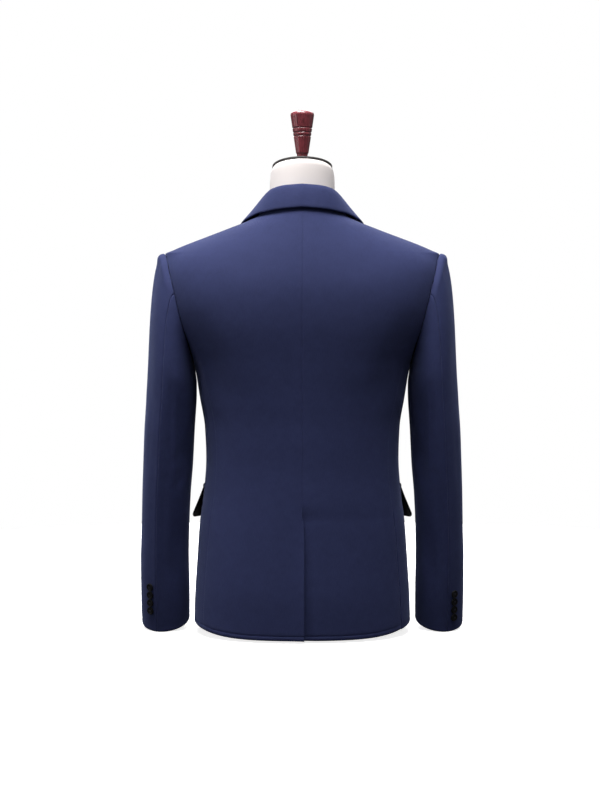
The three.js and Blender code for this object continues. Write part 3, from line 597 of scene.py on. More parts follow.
NAVY = suiting("navy_suiting", (0.0335, 0.0415, 0.117))
LINING = satin("navy_lining", (0.012, 0.0135, 0.03))
SATIN = satin("black_satin", (0.0135, 0.0125, 0.016))
# Under-collar felt, near-black: partly its own colour, partly painted shade that deepens the dark gap under
# the collar's edge.
FELT_AND_SHADE = plain("under_collar_felt_painted_shade", (0.006, 0.007, 0.016), 0.95)
HORN = horn("dark_buttons", (0.0065, 0.0065, 0.0075))
THREAD = plain("button_thread", (0.02, 0.02, 0.028), 0.8)
JERSEY = jersey("cream_jersey", (0.93, 0.86, 0.835))
WOOD = mahogany("mahogany", (0.27, 0.048, 0.062))
BAND = plain("dark_band", (0.026, 0.022, 0.021), 0.6)

CLOTH_STEP = 3.4


def wear(piece, node):
    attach(piece, "root")
    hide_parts(node)
    return piece


def guide_to(face, z):
    start, end = 520, 690
    return mix(armhole_edge(start, face), PI / 2, smooth(start, end, z))


def outer_angle(z, face):
    """A back's or front's outer border: side seam, armhole, then shoulder seam."""
    top, seam = (SIDE_BACK_TOP, side_back_seam) if face > 0 else (SIDE_FRONT_TOP, side_front_seam)
    up = np.where(z < SHOULDER_POINT, armhole_edge(z, face), PI / 2)
    return np.where(z < top, seam(z) * DEGREE, up)


def across(inner, z, face, u):
    outer = outer_angle(z, face)
    guide = np.where(z < 520, outer, guide_to(face, z))
    return mix(inner, guide, u) + (outer - guide) * u**7


STITCH_ROWS = [-1.2, -0.4, 0.4, 1.2]
AT_SHOULDER = [0, 0.15, 0.5, 1.2, 2.2, 3.6, 5.5, 8, 11, 15, 19.5]


def body_rows(*marks):
    """Heights from the hem to the neck seam, close together at the marks."""
    below = stations(0, SHOULDER_POINT - 23, CLOTH_STEP)
    below = below[below < SHOULDER_POINT - 23 - 3]
    near = [SHOULDER_POINT - d for d in reversed(AT_SHOULDER)]
    above = [SHOULDER_POINT + d for d in AT_SHOULDER[1:]]
    rest = stations(SHOULDER_POINT + 22, NECK_POINT, 3)[len(NEAR_EDGE) - 1:]
    rows = np.array([*below, *near, *above, *rest])
    extra = [m + d for m in marks for d in STITCH_ROWS]
    return np.unique(np.concatenate([rows, extra]))


BLADE_STEPS = range(-5, 6)


def rounded_ring(theta, z):
    """The jacket's ring, evened out in height inside the armhole, where the shoulder slopes off."""
    sharp = ring_point(jacket, theta, z)
    weights = [math.exp(-(k * k) / 16) for k in BLADE_STEPS]
    reach = 6.5 * smooth(430, 500, z) * smooth(658, 640, z)
    even = sum(w * ring_point(jacket, theta, z + k * reach) for w, k in zip(weights, BLADE_STEPS))
    even = even / sum(weights)
    from_side = np.abs(theta - PI / 2) / DEGREE
    return mix(sharp, even, smooth(2, 26, from_side)[..., None])


def body_piece(name, node, theta, z, lift, kinds, side, seed, face):
    base = rounded_ring(theta, z)
    normal = ring_normal(jacket, theta, z)
    folds = fold_depth(base, side) + 0.35 * ripple(base[..., 0] * side, z, seed) * smooth(0, 90, z)
    inner = lift + folds
    outer = inner + edge_lift(base, kinds, seed)
    grain = 0 if face > 0 else 13
    piece = shell(name, base, normal, outer, CLOTH, kinds, [NAVY, LINING], side, grain, inner)
    return wear(piece, node)


VENT_DEPTH = 3.6
VENT_FLAT = 18
VENT_CURL = 3.2  # how far the lapping edge stands off
BACK_WIDTH = 170


def back(side, name):
    z = body_rows(HEM_STITCH, VENT_TOP, VENT_TOP + 14)[:, None]
    width = stations(0, BACK_WIDTH, CLOTH_STEP)[None, :]
    lap = (3 if side > 0 else VENT_UNDERLAP) * smooth(192, VENT_TOP, z)
    x = mix(-lap, VENT_FLAT, np.clip(width / VENT_FLAT, 0, 1))
    height = np.maximum(z, 1)
    flat = angle_at(jacket, VENT_FLAT, height)
    u = np.clip((width - VENT_FLAT) / (BACK_WIDTH - VENT_FLAT), 0, 1)
    theta = np.where(width < VENT_FLAT, angle_at(jacket, x, height), across(flat, z, 1, u))
    top = smooth(630, NECK_POINT, z) * (neck_seam_at(theta) - NECK_POINT)
    place = near_hem(z, theta) + top
    if side > 0:
        lift = VENT_CURL * smooth(VENT_TOP, 90, z) * np.exp(-width / 11)
    else:
        sunk = mix(2.5, VENT_DEPTH, smooth(VENT_TOP, 110, z)) * smooth(214, 184, z)
        lift = -sunk * smooth(30, 2, x)
    kinds = {"first": "faint seam", "last": "faint seam", "low": "hem", "high": "seam"}
    return body_piece(f"back_{name}_cloth", f"back_{name}", theta, place, lift,
                      kinds, side, 1 if side > 0 else 2, 1)


def side_panel(side, name):
    rows = [*stations(0, SIDE_BACK_TOP, CLOTH_STEP), *(HEM_STITCH + np.array(STITCH_ROWS))]
    r = np.unique(rows)[:, None] / SIDE_BACK_TOP
    u = stations(0, 128, CLOTH_STEP)[None, :] / 128
    z_back, z_front = SIDE_BACK_TOP * r, SIDE_FRONT_TOP * r
    theta = mix(side_back_seam(z_back), side_front_seam(z_front), u) * DEGREE
    ends = (float(side_back_seam(SIDE_BACK_TOP)), float(side_front_seam(SIDE_FRONT_TOP)))
    top = mix(*ends, u) * DEGREE
    dip = mix(SIDE_BACK_TOP, SIDE_FRONT_TOP, u) - armhole_floor(top)
    z = near_hem(mix(z_back, z_front, u), theta) - dip * smooth(0.6, 1, r)
    kinds = {"first": "faint seam", "last": "faint seam", "low": "hem", "high": "seam"}
    return body_piece(f"side_{name}_cloth", f"side_{name}", theta, z, np.zeros(z.shape),
                      kinds, side, 3 + side, 1)


def lap_lift(x, z):
    return LAP_LIFT * smooth(64, 26, x) * smooth(440, 380, z)


def front(side, name):
    z = body_rows(HEM_STITCH, LAPEL_BREAK)[:, None]
    u = stations(0, 165, CLOTH_STEP)[None, :] / 165
    inner = front_angle_at(jacket, front_edge(z) + cutaway(z), np.maximum(z, 1))
    theta = across(inner, z, -1, u)
    place = near_hem(z, theta) + 14 * smooth(120, 0, z) * (1 - u) ** 5
    lift = np.zeros(theta.shape)
    if side > 0:
        lift = lap_lift(ring_point(jacket, theta, place)[..., 0], place)
    kinds = {"first": "edge", "last": "seam", "low": "hem", "high": "seam"}
    return body_piece(f"front_{name}_cloth", f"front_{name}", theta, place, lift,
                      kinds, side, 6 + side, -1)


def on_front(side, x, z, lift):
    """A point of a front's outside and its normal, and the same lifted."""
    theta = front_angle_at(jacket, x, z)
    point = ring_point(jacket, theta, z)
    normal = ring_normal(jacket, theta, z)
    out = lift + fold_depth(point, side) + (lap_lift(x, z) if side > 0 else 0)
    return point + normal * np.asarray(out)[..., None], normal


def grid_normal(points):
    down = np.gradient(points, axis=0)
    right = np.gradient(points, axis=1)
    return unit(np.cross(down, right))


LAPEL_TIP = (121, 574)
LAPEL_CLOTH = 2.0


def lapel(side, name):
    s = mix(0.06, 1, stations(0, 340, 4) / 340)[:, None]
    roll_turns = np.array([150, 120, 90, 60, 30]) * DEGREE
    t = np.concatenate([np.zeros(len(roll_turns)), stations(0, 70, 3) / 70])[None, :]
    turn = np.concatenate([roll_turns, np.zeros(t.shape[1] - len(roll_turns))])[None, :]
    belly = 9 * np.sin(PI * s) ** 0.9
    edge_x = mix(-FRONT_OVERLAP + 1.5, LAPEL_TIP[0], s) + belly * 0.85
    edge_z = mix(LAPEL_BREAK + 4, LAPEL_TIP[1], s) - belly * 0.45
    roll_z = mix(LAPEL_BREAK, GORGE - 0.7, s)
    roll = 3.0 * np.sin(PI * np.minimum(1, t * 1.15)) ** 0.8 * smooth(0.15, 0.5, s)
    x = mix(front_edge(roll_z) + 0.4, edge_x, t)
    z = mix(roll_z, edge_z, t) + 0 * x
    radius = 2.5
    lift = 0.9 + LAPEL_CLOTH + roll - radius * (1 - np.cos(turn))
    base, normal = on_front(side, x - radius * np.sin(turn), z, lift)
    facing = grid_normal(base)
    facing *= np.sign((facing * normal)[:, -1].sum())
    kinds = {"first": "bare", "last": "edge", "low": "edge", "high": "edge"}
    lift = edge_lift(base, kinds, side)
    piece = shell(f"lapel_{name}_satin", base, facing, lift, LAPEL_CLOTH, kinds, [SATIN, SATIN], side)
    return wear(piece, f"lapel_{name}")


# Collar
crease = Curves(["x", "y", "z"], [
    [0, 58, -35.5, 633.8], [0.16, 59, -25, 652], [0.34, 58.8, -11, 672],
    [0.52, 57.2, 7, 690.5], [0.7, 50, 30, 701], [0.86, 30, 50, 706.5], [1, 0, 57.5, 708.5],
])
leaf = Curves(["angle", "z", "lift"], [
    [0, 137.5, 613, 4.4], [0.16, 131, 629, 3.8], [0.34, 116, 643, 3.6],
    [0.52, 91, 652, 5], [0.7, 60, 660, 7], [0.86, 29, 666, 6.4], [1, 0, 668.5, 6],
])
NOTCH = (97, 597.4)


def crease_at(share):
    return stack(crease.x(share), crease.y(share), crease.z(share))


def leaf_edge_at(share):
    theta, z = leaf.angle(share) * DEGREE, leaf.z(share)
    normal = ring_normal(jacket, theta, z)
    return ring_point(jacket, theta, z) + normal * leaf.lift(share)[..., None]


def front_end(t):
    start, end = crease_at(np.zeros(1))[0], leaf_edge_at(np.zeros(1))[0]
    notch = on_front(1, np.array([NOTCH[0]]), np.array([NOTCH[1]]), 4)[0][0]
    t = t[..., None]
    return np.where(t < 0.5, mix(start, notch, 2 * t), mix(notch, end, 2 * t - 1))


def collar_fall():
    s = np.unique(np.concatenate([np.linspace(-1, 1, 201), [-0.998, 0.998]]))[:, None]
    side = np.where(s < 0, -1.0, 1.0)
    share = 1 - np.abs(s)
    wrap = np.array([100, 75, 50, 25]) * DEGREE
    t = np.concatenate([np.zeros(len(wrap)), stations(0, 46, 2.2) / 46])[None, :]
    turn = np.concatenate([wrap, np.zeros(t.shape[1] - len(wrap))])[None, :, None]
    top, edge = crease_at(share), leaf_edge_at(share)
    away = edge - top
    away[..., 2] = 0
    away = unit(away)
    roll = top + away * mix(4.5, 9, share)[..., None]
    roll[..., 2] += mix(2, 1.5, share)
    q = t[..., None]
    point = top * (1 - q) ** 2 + roll * 2 * q * (1 - q) + edge * q * q
    point = mix(point, front_end(t), smooth(0.16, 0, share)[..., None])
    radius = mix(1.4, 4.2, smooth(0.02, 0.4, share))[..., None]
    up = np.array([0, 0, 1.0])
    point = point - away * radius * np.sin(turn) - up * radius * (1 - np.cos(turn))
    point[..., 0] *= side
    normal = grid_normal(point)
    normal *= np.sign(normal[len(s) // 2, -8, 1])
    kinds = {"first": "bare", "last": "edge", "low": "edge", "high": "edge"}
    lift = edge_lift(point, kinds, 2)
    # The fall's underside takes the near-black felt, so its colour adds painted shade to the gap under the
    # collar's lower edge.
    piece = shell("collar_fall_cloth", point, normal, lift, 2.0, kinds, [NAVY, FELT_AND_SHADE])
    return wear(piece, "collar_fall")


def neck_seam_point(share):
    crease_point = crease_at(share)
    theta = (PI / 2) * (1 - np.clip((share - 0.5) / 0.5, 0, 1))
    behind = ring_point(jacket, theta, neck_seam_at(theta))
    z = mix(GORGE + 3, NECK_POINT, np.minimum(share / 0.5, 1))
    ahead = on_front(-1, front_edge(z), z, 0)[0]
    ahead = mix(ahead, crease_point, 0.15 * (1 - np.minimum(share / 0.5, 1))[..., None])
    return np.where((share >= 0.5)[..., None], behind, ahead)


def collar_stand():
    s = np.linspace(-1, 1, 161)[:, None]
    t = (stations(0, 24, 2) / 24 * 0.93)[None, :]
    side = np.where(s < 0, -1.0, 1.0)
    share = mix(0.06, 1, 1 - np.abs(s))
    top, seam = crease_at(share), neck_seam_point(share)
    seam = seam + 0.7 * unit(top - seam)
    to_neck = unit(np.stack([-top[..., 0], -top[..., 1] - 4, 0 * top[..., 2]], -1))
    top = top + 2.2 * to_neck
    point = mix(seam, top, t[..., None])
    point[..., 0] *= side
    normal = grid_normal(point)
    normal *= np.sign(normal[len(s) // 2, 4, 1])
    kinds = {"first": "seam", "last": "bare", "low": "edge", "high": "edge"}
    lift = edge_lift(point, kinds, 4)
    piece = shell("collar_stand_cloth", point, normal, lift, 1.8, kinds, [NAVY, NAVY])
    return wear(piece, "collar_stand")


# Sleeves
sleeve = Curves(["middle", "reach", "depth", "lean"], [
    [0, 220.4, 38, 47, -27],
    [64, 220.4, 38.8, 48, -18],
    [115, 220.8, 38.4, 49, -12.5],
    [166, 219.6, 38, 51.5, -9],
    [218, 217.8, 38.7, 54.5, -6],
    [269, 214.8, 39.8, 58, -3.5],
    [320, 212.4, 40, 61, -1],
    [371, 209, 40, 64, 0.6],
    [395, 208.2, 39.4, 65.5, 1],
])
SLEEVE_TOP = 395
BACK_SEAM = 75 * DEGREE
FRONT_SEAM = -112 * DEGREE
SLEEVE_FOLD_COLUMNS = ["side", "phi", "z", "drop", "turn", "width", "depth"]
SLEEVE_FOLDS = [dict(zip(SLEEVE_FOLD_COLUMNS, row)) for row in [
    [0, 75, 400, 380, 0, 9, 1.6],
    [0, 75, 420, 400, 0, 4, 0.9],
    [0, 116, 384, 130, 16, 16, -3.4],
    [0, 150, 300, 70, -26, 13, -2],
    [0, 128, 170, 90, -16, 14, -1.8],
    [0, -70, 285, 30, -55, 14, -2.6],
    [0, -50, 232, 26, -60, 12, -2],
    [0, 30, 470, 120, 12, 14, -1.5],
    [0, -35, 470, 110, -10, 14, -1.6],
    [1, 94, 400, 150, 10, 6, -1.5],
    [-1, 100, 410, 170, 8, 6, -1.7],
    [0, 106, 430, 190, 8, 5, 1.2],
    [1, 52, 372, 110, -8, 8, -0.7],
    [-1, 46, 350, 130, -6, 8, -0.8],
    [1, 132, 292, 26, -30, 7, -0.8],
    [-1, 126, 270, 24, -30, 7, -0.7],
    [1, 140, 250, 22, -26, 6, -0.7],
    [1, 90, 250, 170, 6, 6, -1.3],
    [-1, 92, 240, 160, -4, 6, -1.5],
    [1, 116, 120, 70, 6, 8, -0.8],
    [-1, 112, 130, 76, 4, 8, -0.9],
    [0, -84, 262, 24, -40, 6, -1.0],
    [0, -64, 210, 22, -46, 6, -0.8],
    [0, 170, 330, 30, -30, 7, -1.0],
]]


def sleeve_fold_depth(phi, z, side):
    radius = 50
    depth = np.zeros(np.broadcast(phi, z).shape)
    for fold in SLEEVE_FOLDS:
        if fold["side"] not in (0, side):
            continue
        dx, dz = fold["turn"] * DEGREE * radius, -fold["drop"]
        turn = phi - fold["phi"] * DEGREE
        px, pz = np.arctan2(np.sin(turn), np.cos(turn)) * radius, z - fold["z"]
        length = math.hypot(dx, dz)
        along = (px * dx + pz * dz) / length**2
        off = (px * dz - pz * dx) / length
        ends = smooth(-0.2, 0.3, along) * smooth(1.2, 0.7, along)
        depth += fold["depth"] * ends * np.exp(-((off / fold["width"]) ** 2))
    return depth


def sleeve_ring(phi, z):
    x = sleeve.middle(z) + sleeve.reach(z) * np.cos(phi)
    return stack(x, sleeve.lean(z) + sleeve.depth(z) * np.sin(phi), z)


def crown_point(phi, t):
    theta, z = armhole_place(phi)
    seam = rounded_ring(theta, z)
    into = ring_point(jacket, PI / 2, ARMHOLE_MIDDLE) - seam
    normal = ring_normal(jacket, theta, z)
    into = unit(into - normal * (into * normal).sum(-1, keepdims=True))
    seam = seam + 0.5 * into
    ring = sleeve_ring(phi, SLEEVE_TOP)
    drop = (seam[..., 2] - SLEEVE_TOP)[..., None]
    c = np.cos(phi)
    lean = 0.14 * np.maximum(0, c) ** 2 + 0.28 * np.minimum(0, c)
    pull = 36 + np.where(c > 0, 42, 32) * c
    start = unit(stack(0.9 + 0 * c, 0.42 * np.sin(phi), lean)) * pull[..., None]
    finish = (sleeve_ring(phi, SLEEVE_TOP - 20) - ring) * drop / 20
    t = t[..., None]
    return (
        seam * (2 * t**3 - 3 * t**2 + 1)
        + start * (t**3 - 2 * t**2 + t)
        + ring * (3 * t**2 - 2 * t**3)
        + finish * (t**3 - t**2)
    )


def sleeve_base(phi, v):
    cuff = 13.2 - 12 * np.sin(phi) - 2 * np.cos(phi)
    share = np.clip(v - 1, 0, 1)
    tube = sleeve_ring(phi, SLEEVE_TOP * (1 - share) + cuff * share**3)
    crown = crown_point(phi, np.clip(v, 0, 1))
    return np.where((v <= 1)[..., None], crown, tube)


def sleeve_normal(phi, v):
    step = 0.01
    around = sleeve_base(phi + step, v) - sleeve_base(phi - step, v)
    down = sleeve_base(phi, np.minimum(2, v + step)) - sleeve_base(phi, np.maximum(0, v - step))
    return unit(np.cross(down, around))


ROPE = {"height": 3.2, "at": 10, "width": 8}


def sleeve_piece(side, name, part, start, end, width):
    crown = stations(0, 150, 3) / 150
    tube = 1 + stations(0, SLEEVE_TOP, CLOTH_STEP) / SLEEVE_TOP
    v = np.concatenate([crown[:-len(NEAR_EDGE)], [crown[-len(NEAR_EDGE)]], tube[len(NEAR_EDGE):]])
    v, phi = np.meshgrid(v, mix(start, end, stations(0, width, 3.2) / width), indexing="ij")
    base, normal = sleeve_base(phi, v), sleeve_normal(phi, v)
    z = base[..., 2]
    seed = 9 + side
    from_low = run_lengths(base)[1]
    folds = sleeve_fold_depth(phi, z, side) * smooth(0, 0.35, v)
    folds = folds + 0.3 * ripple(50 * phi, z, seed) * smooth(0, 60, from_low)
    rope = ROPE["height"] * np.exp(-(((from_low - ROPE["at"]) / ROPE["width"]) ** 2))
    rope = rope * np.maximum(0, np.cos(phi)) ** 1.3
    gather = 0.35 * np.sin(phi * 34 + 1.4 * np.sin(phi * 9 + seed))
    gather = gather * np.exp(-(((from_low - 13) / 9) ** 2)) * np.maximum(0, np.cos(phi)) ** 0.7
    inner = folds + rope + gather
    kinds = {"first": "seam", "last": "seam", "low": "seam", "high": "hem"}
    outer = inner + edge_lift(base, kinds, seed)
    piece = shell(f"{part}_{name}_cloth", base, normal, outer, SLEEVE_CLOTH, kinds,
                  [NAVY, LINING], side, 40, inner)
    return wear(piece, f"{part}_{name}")


# Pocket flaps and the jets above them
FLAP = {"top": 227, "height": 49, "rear": 92, "front": 147, "cloth": 2.4, "swing": 11.5}
JET = {"height": 6, "cloth": 1.6}


def front_surface(side, theta, z, lift):
    point = ring_point(jacket, theta, z)
    lap = lap_lift(point[..., 0], z) if side > 0 else 0
    normal = ring_normal(jacket, theta, z)
    out = lift + lap + fold_depth(point, side)
    return point + normal * np.asarray(out)[..., None], normal


def flap(side, name):
    down = (stations(0, 49, 2.5) / 49)[:, None]
    u = (stations(0, 128, 3) / 128)[None, :]
    theta = mix(FLAP["rear"], FLAP["front"], u) * DEGREE
    corner = 1 - 0.12 * np.abs(2 * u - 1) ** 8
    z = FLAP["top"] - FLAP["height"] * down * corner
    swing = mix(FLAP["swing"], 2.2, smooth(0, 0.8, u)) * down
    lift = 0.8 + FLAP["cloth"] + swing + 0.4 * np.sin(u * 9) * down
    base, _ = front_surface(side, theta + 0 * z, z, lift)
    normal = grid_normal(base)
    normal *= np.sign((normal * base).sum())
    kinds = {"first": "edge", "last": "edge", "low": "bare", "high": "edge"}
    lift = edge_lift(base, kinds, 1)
    piece = shell(f"flap_{name}_satin", base, normal, lift, FLAP["cloth"], kinds,
                  [SATIN, SATIN], side)
    return wear(piece, f"flap_{name}")


def jet(side, name):
    up = np.linspace(0, 1, 7)[:, None]
    u = (stations(0, 128, 3) / 128)[None, :]
    theta = mix(FLAP["rear"], FLAP["front"], u) * DEGREE
    z = FLAP["top"] + 0.5 + JET["height"] * up
    lift = 0.8 + JET["cloth"] + 0.5 * np.sin(PI * up) + 0 * u
    base, _ = front_surface(side, theta + 0 * z, z + 0 * theta, lift)
    normal = grid_normal(base)
    normal *= np.sign((normal * base).sum())
    kinds = {"first": "edge", "last": "edge", "low": "edge", "high": "edge"}
    piece = shell(f"jet_{name}_satin", base, normal, np.zeros(base.shape[:2]), JET["cloth"], kinds,
                  [SATIN, LINING], side)
    return wear(piece, f"jet_{name}")


# Turned pieces
def lathe(rows, segments):
    """Points and faces of a turned solid on +Z, from rows of radius and height."""
    inner = [row for row in rows if row[0] > 0]
    turn = np.arange(segments) * 2 * PI / segments
    points = [stack(r * np.cos(turn), r * np.sin(turn), z + 0 * turn) for r, z in inner]
    points = np.concatenate([*points, [[0, 0, rows[0][1]]], [[0, 0, rows[-1][1]]]])
    faces = []
    count = len(inner)
    foot, tip = count * segments, count * segments + 1
    for i in range(count - 1):
        for j in range(segments):
            a, b = i * segments + j, i * segments + (j + 1) % segments
            faces.append((a, b, b + segments, a + segments))
    for j in range(segments):
        k = (j + 1) % segments
        faces.append((foot, k, j))
        faces.append((tip, (count - 1) * segments + j, (count - 1) * segments + k))
    return points, faces


def turn_to(points, axis, at):
    """Points of a piece that looks along +Z, turned to look along axis and moved to a place."""
    axis = unit(np.asarray(axis, float))
    across_axis = unit(np.cross([0, 0, 1.0], axis) + [1e-9, 0, 0])
    other = np.cross(axis, across_axis)
    return points @ np.stack([across_axis, other, axis]) + at


def button(name, node, radius, depth, at, axis):
    rows = [
        [0, 0], [0.5 * radius, 0], [0.84 * radius, 0], [0.95 * radius, 0.14 * depth],
        [radius, 0.42 * depth], [0.985 * radius, 0.68 * depth], [0.94 * radius, 0.9 * depth],
        [0.88 * radius, depth], [0.8 * radius, 0.97 * depth], [0.72 * radius, 0.8 * depth],
        [0.64 * radius, 0.7 * depth], [0.4 * radius, 0.66 * depth], [0.2 * radius, 0.66 * depth],
        [0, 0.66 * depth],
    ]
    points, faces = lathe(rows, 40)
    marks = [0] * len(faces)
    hole = 0.2 * radius
    for dx in (-1, 1):
        for dy in (-1, 1):
            eye = [[0, 0.6 * depth], [0.13 * radius, 0.6 * depth], [0.13 * radius, 0.7 * depth],
                   [0.1 * radius, 0.71 * depth], [0, 0.69 * depth]]
            more, turned = lathe(eye, 14)
            more = more + [dx * hole, dy * hole, 0]
            faces += [tuple(i + len(points) for i in f) for f in turned]
            marks += [1] * len(turned)
            points = np.concatenate([points, more])
    for dx in (-1, 1):
        stitch, turned = thread_bar(dx * hole, hole, 0.7 * depth, 0.075 * radius)
        faces += [tuple(i + len(points) for i in f) for f in turned]
        marks += [1] * len(turned)
        points = np.concatenate([points, stitch])
    points = turn_to(points, axis, at)
    piece = new_object(name, points, faces, None, marks, [HORN, THREAD])
    return wear(piece, node)


def thread_bar(x, half, z, radius):
    """A thread from one hole to the next, arched over the button's face."""
    steps, sides = 9, 8
    turn = np.arange(sides) * 2 * PI / sides
    rings = []
    for k in range(steps):
        share = k / (steps - 1)
        y = mix(-half, half, share)
        rise = z + 2.2 * radius * math.sin(PI * share)
        rings.append(stack(x + radius * np.cos(turn), y + 0 * turn, rise + radius * np.sin(turn)))
    faces = []
    for k in range(steps - 1):
        for j in range(sides):
            a, b = k * sides + j, k * sides + (j + 1) % sides
            faces.append((a, a + sides, b + sides, b))
    faces.append(tuple(range(sides)))
    faces.append(tuple(reversed(range((steps - 1) * sides, steps * sides))))
    return np.concatenate(rings), faces


CUFF_BUTTON = {"radius": 6.2, "depth": 2.6, "pitch": 12.8, "count": 4, "left": 33, "right": 22}
FRONT_BUTTON = {"radius": 10, "depth": 3.4, "height": 284}


def cuff_buttons(side, name):
    for k in range(CUFF_BUTTON["count"]):
        phi = np.array([59 * DEGREE])
        v = np.array([2 - (CUFF_BUTTON[name] + CUFF_BUTTON["pitch"] * k) / SLEEVE_TOP])
        normal = sleeve_normal(phi, v)[0]
        at = sleeve_base(phi, v)[0]
        fold = sleeve_fold_depth(phi, at[2], side)[0]
        at = at + normal * (fold + 0.4)
        flip = np.array([side, 1, 1])
        node = f"cuff_button_{name}_{k + 1}"
        button(f"{node}_horn", node, CUFF_BUTTON["radius"], CUFF_BUTTON["depth"],
               at * flip, normal * flip)


# Dress form
NECK_TOP = {"z": 738, "tilt": 14 * DEGREE, "from": 690}


def form_body():
    columns = 96
    z = np.unique(np.concatenate([
        np.linspace(0, 14, 8), np.linspace(14, 560, 80), np.linspace(560, 690, 60),
        np.linspace(690, NECK_TOP["z"], 30),
    ]))[:, None]
    theta = (2 * PI * np.arange(columns) / columns)[None, :]
    points = ring_point(form, theta, z + 0 * theta)
    ridge = float(form.ridge(NECK_TOP["z"]))
    share = smooth(NECK_TOP["from"], NECK_TOP["z"], points[..., 2])
    points[..., 2] += share * math.tan(NECK_TOP["tilt"]) * (points[..., 1] - ridge)
    rows = len(z)
    flat = np.concatenate([points.reshape(-1, 3), [[0, 0, 0]], [[0, ridge, NECK_TOP["z"]]]])
    faces = []
    for i in range(rows - 1):
        for j in range(columns):
            a, b = i * columns + j, i * columns + (j + 1) % columns
            faces.append((a, b, b + columns, a + columns))
    foot, tip, last = rows * columns, rows * columns + 1, (rows - 1) * columns
    for j in range(columns):
        k = (j + 1) % columns
        faces.append((foot, k, j))
        faces.append((tip, last + j, last + k))
    around = np.arange(columns) * 4.0
    uv = np.stack(np.broadcast_arrays(around[None, :], z), -1).reshape(-1, 2)
    uv = np.concatenate([uv, [[0, 0]], [[0, NECK_TOP["z"]]]])
    piece = new_object("form_jersey", flat, faces, uv, [0] * len(faces), [JERSEY])
    return wear(piece, "form_body")


PLATE = {"side": 48.2, "depth": 47, "thick": 4.8, "middle": 5.4}


def neck_cap():
    rows = [[0, 0], [0.5, 0], [0.985, 0], [0.995, 0.3], [1, 0.9], [1, 3.6], [0.995, 4.3],
            [0.98, PLATE["thick"]], [0.8, 5.1], [0.5, 5.3], [0.25, 5.38], [0, PLATE["middle"]]]
    points, faces = lathe(rows, 96)
    points = points * [PLATE["side"], PLATE["depth"], 1]
    c, s = math.cos(NECK_TOP["tilt"]), math.sin(NECK_TOP["tilt"])
    y, z = points[:, 1].copy(), points[:, 2].copy()
    points[:, 1], points[:, 2] = y * c - z * s, y * s + z * c
    points = points + [0, float(form.ridge(NECK_TOP["z"])), NECK_TOP["z"] + 0.4]
    piece = new_object("neck_cap_band", points, faces, None, [0] * len(faces), [BAND])
    return wear(piece, "neck_cap")


FINIAL = {"stem": 8.6, "foot": 10.1, "head": 18.9, "from": 17, "to": 77, "height": 85, "lift": 3.2}


def finial():
    def radius(h):
        return mix(FINIAL["foot"], FINIAL["head"], (h - FINIAL["from"]) / (FINIAL["to"] - FINIAL["from"]))

    rows = [
        [0, 0], [FINIAL["foot"] + 1.4, 0], [FINIAL["foot"] + 2, 0.6], [FINIAL["foot"] + 2, 2.1],
        [FINIAL["foot"] + 1.2, 2.9], [9.2, 4.2], [FINIAL["stem"], 6], [FINIAL["stem"], 10],
        [FINIAL["stem"], 14], [9.1, 15.6], [FINIAL["foot"], 17.2],
    ]
    at = FINIAL["from"] + 1
    for groove in (44, 49.7, 56.7):
        while at < groove - 1.8:
            rows.append([radius(at), at])
            at += 1.6
        for off, cut in ((-1.4, 0), (-0.9, 0.35), (-0.35, 0.95), (0.35, 0.95), (0.9, 0.35), (1.4, 0)):
            rows.append([radius(groove + off) - cut, groove + off])
        at = groove + 1.9
    while at < FINIAL["to"]:
        rows.append([radius(at), at])
        at += 2.2
    rows += [[FINIAL["head"], FINIAL["to"]], [18.95, 78.3], [18.7, 79.6], [18.1, 80.9], [17.1, 82.2],
             [15.4, 83.4], [12.6, 84.3], [8, 84.8], [4, 84.95], [0, FINIAL["height"]]]
    points, faces = lathe(rows, 80)
    foot = NECK_TOP["z"] + 0.4 + PLATE["middle"] + FINIAL["lift"]
    points = points + [0, float(form.ridge(NECK_TOP["z"])), foot]
    piece = new_object("finial_wood", points, faces, None, [0] * len(faces), [WOOD])
    return wear(piece, "finial")


for name, side in (("left", 1), ("right", -1)):
    back(side, name)
    side_panel(side, name)
    front(side, name)
    lapel(side, name)
    sleeve_piece(side, name, "top_sleeve", FRONT_SEAM, BACK_SEAM, 172)
    sleeve_piece(
        side, name, "under_sleeve", BACK_SEAM, 2 * PI + FRONT_SEAM, 150)
    flap(side, name)
    jet(side, name)
    cuff_buttons(side, name)
collar_fall()
collar_stand()
button_at, button_axis = on_front(1, np.array([0.0]), np.array([FRONT_BUTTON["height"]]), 0.6)
button("front_button_horn", "front_button", FRONT_BUTTON["radius"], FRONT_BUTTON["depth"],
       button_at[0], button_axis[0])
form_body()
neck_cap()
finial()


# Floor, light and camera
def stage_piece(name, mesh, stage_material):
    piece = bpy.data.objects.new(name, mesh)
    bpy.context.scene.collection.objects.link(piece)
    mesh.materials.append(stage_material)
    return piece


def floor():
    radius, sides = 1.5, 96
    turns = [2 * PI * k / sides for k in range(sides)]
    rim = [(radius * math.cos(turn), radius * math.sin(turn), 0) for turn in turns]
    mesh = bpy.data.meshes.new("floor")
    mesh.from_pydata(rim, [], [tuple(range(sides))])
    pale, _, shader = material("pale_floor", 0.9, specular=0.1)
    shader.inputs["Base Color"].default_value = (0.95, 0.95, 0.95, 1)
    shader.inputs["Emission Color"].default_value = (1, 1, 1, 1)
    shader.inputs["Emission Strength"].default_value = 0.8
    ground = stage_piece("floor", mesh, pale)
    ground.visible_diffuse = False
    ground.visible_glossy = False


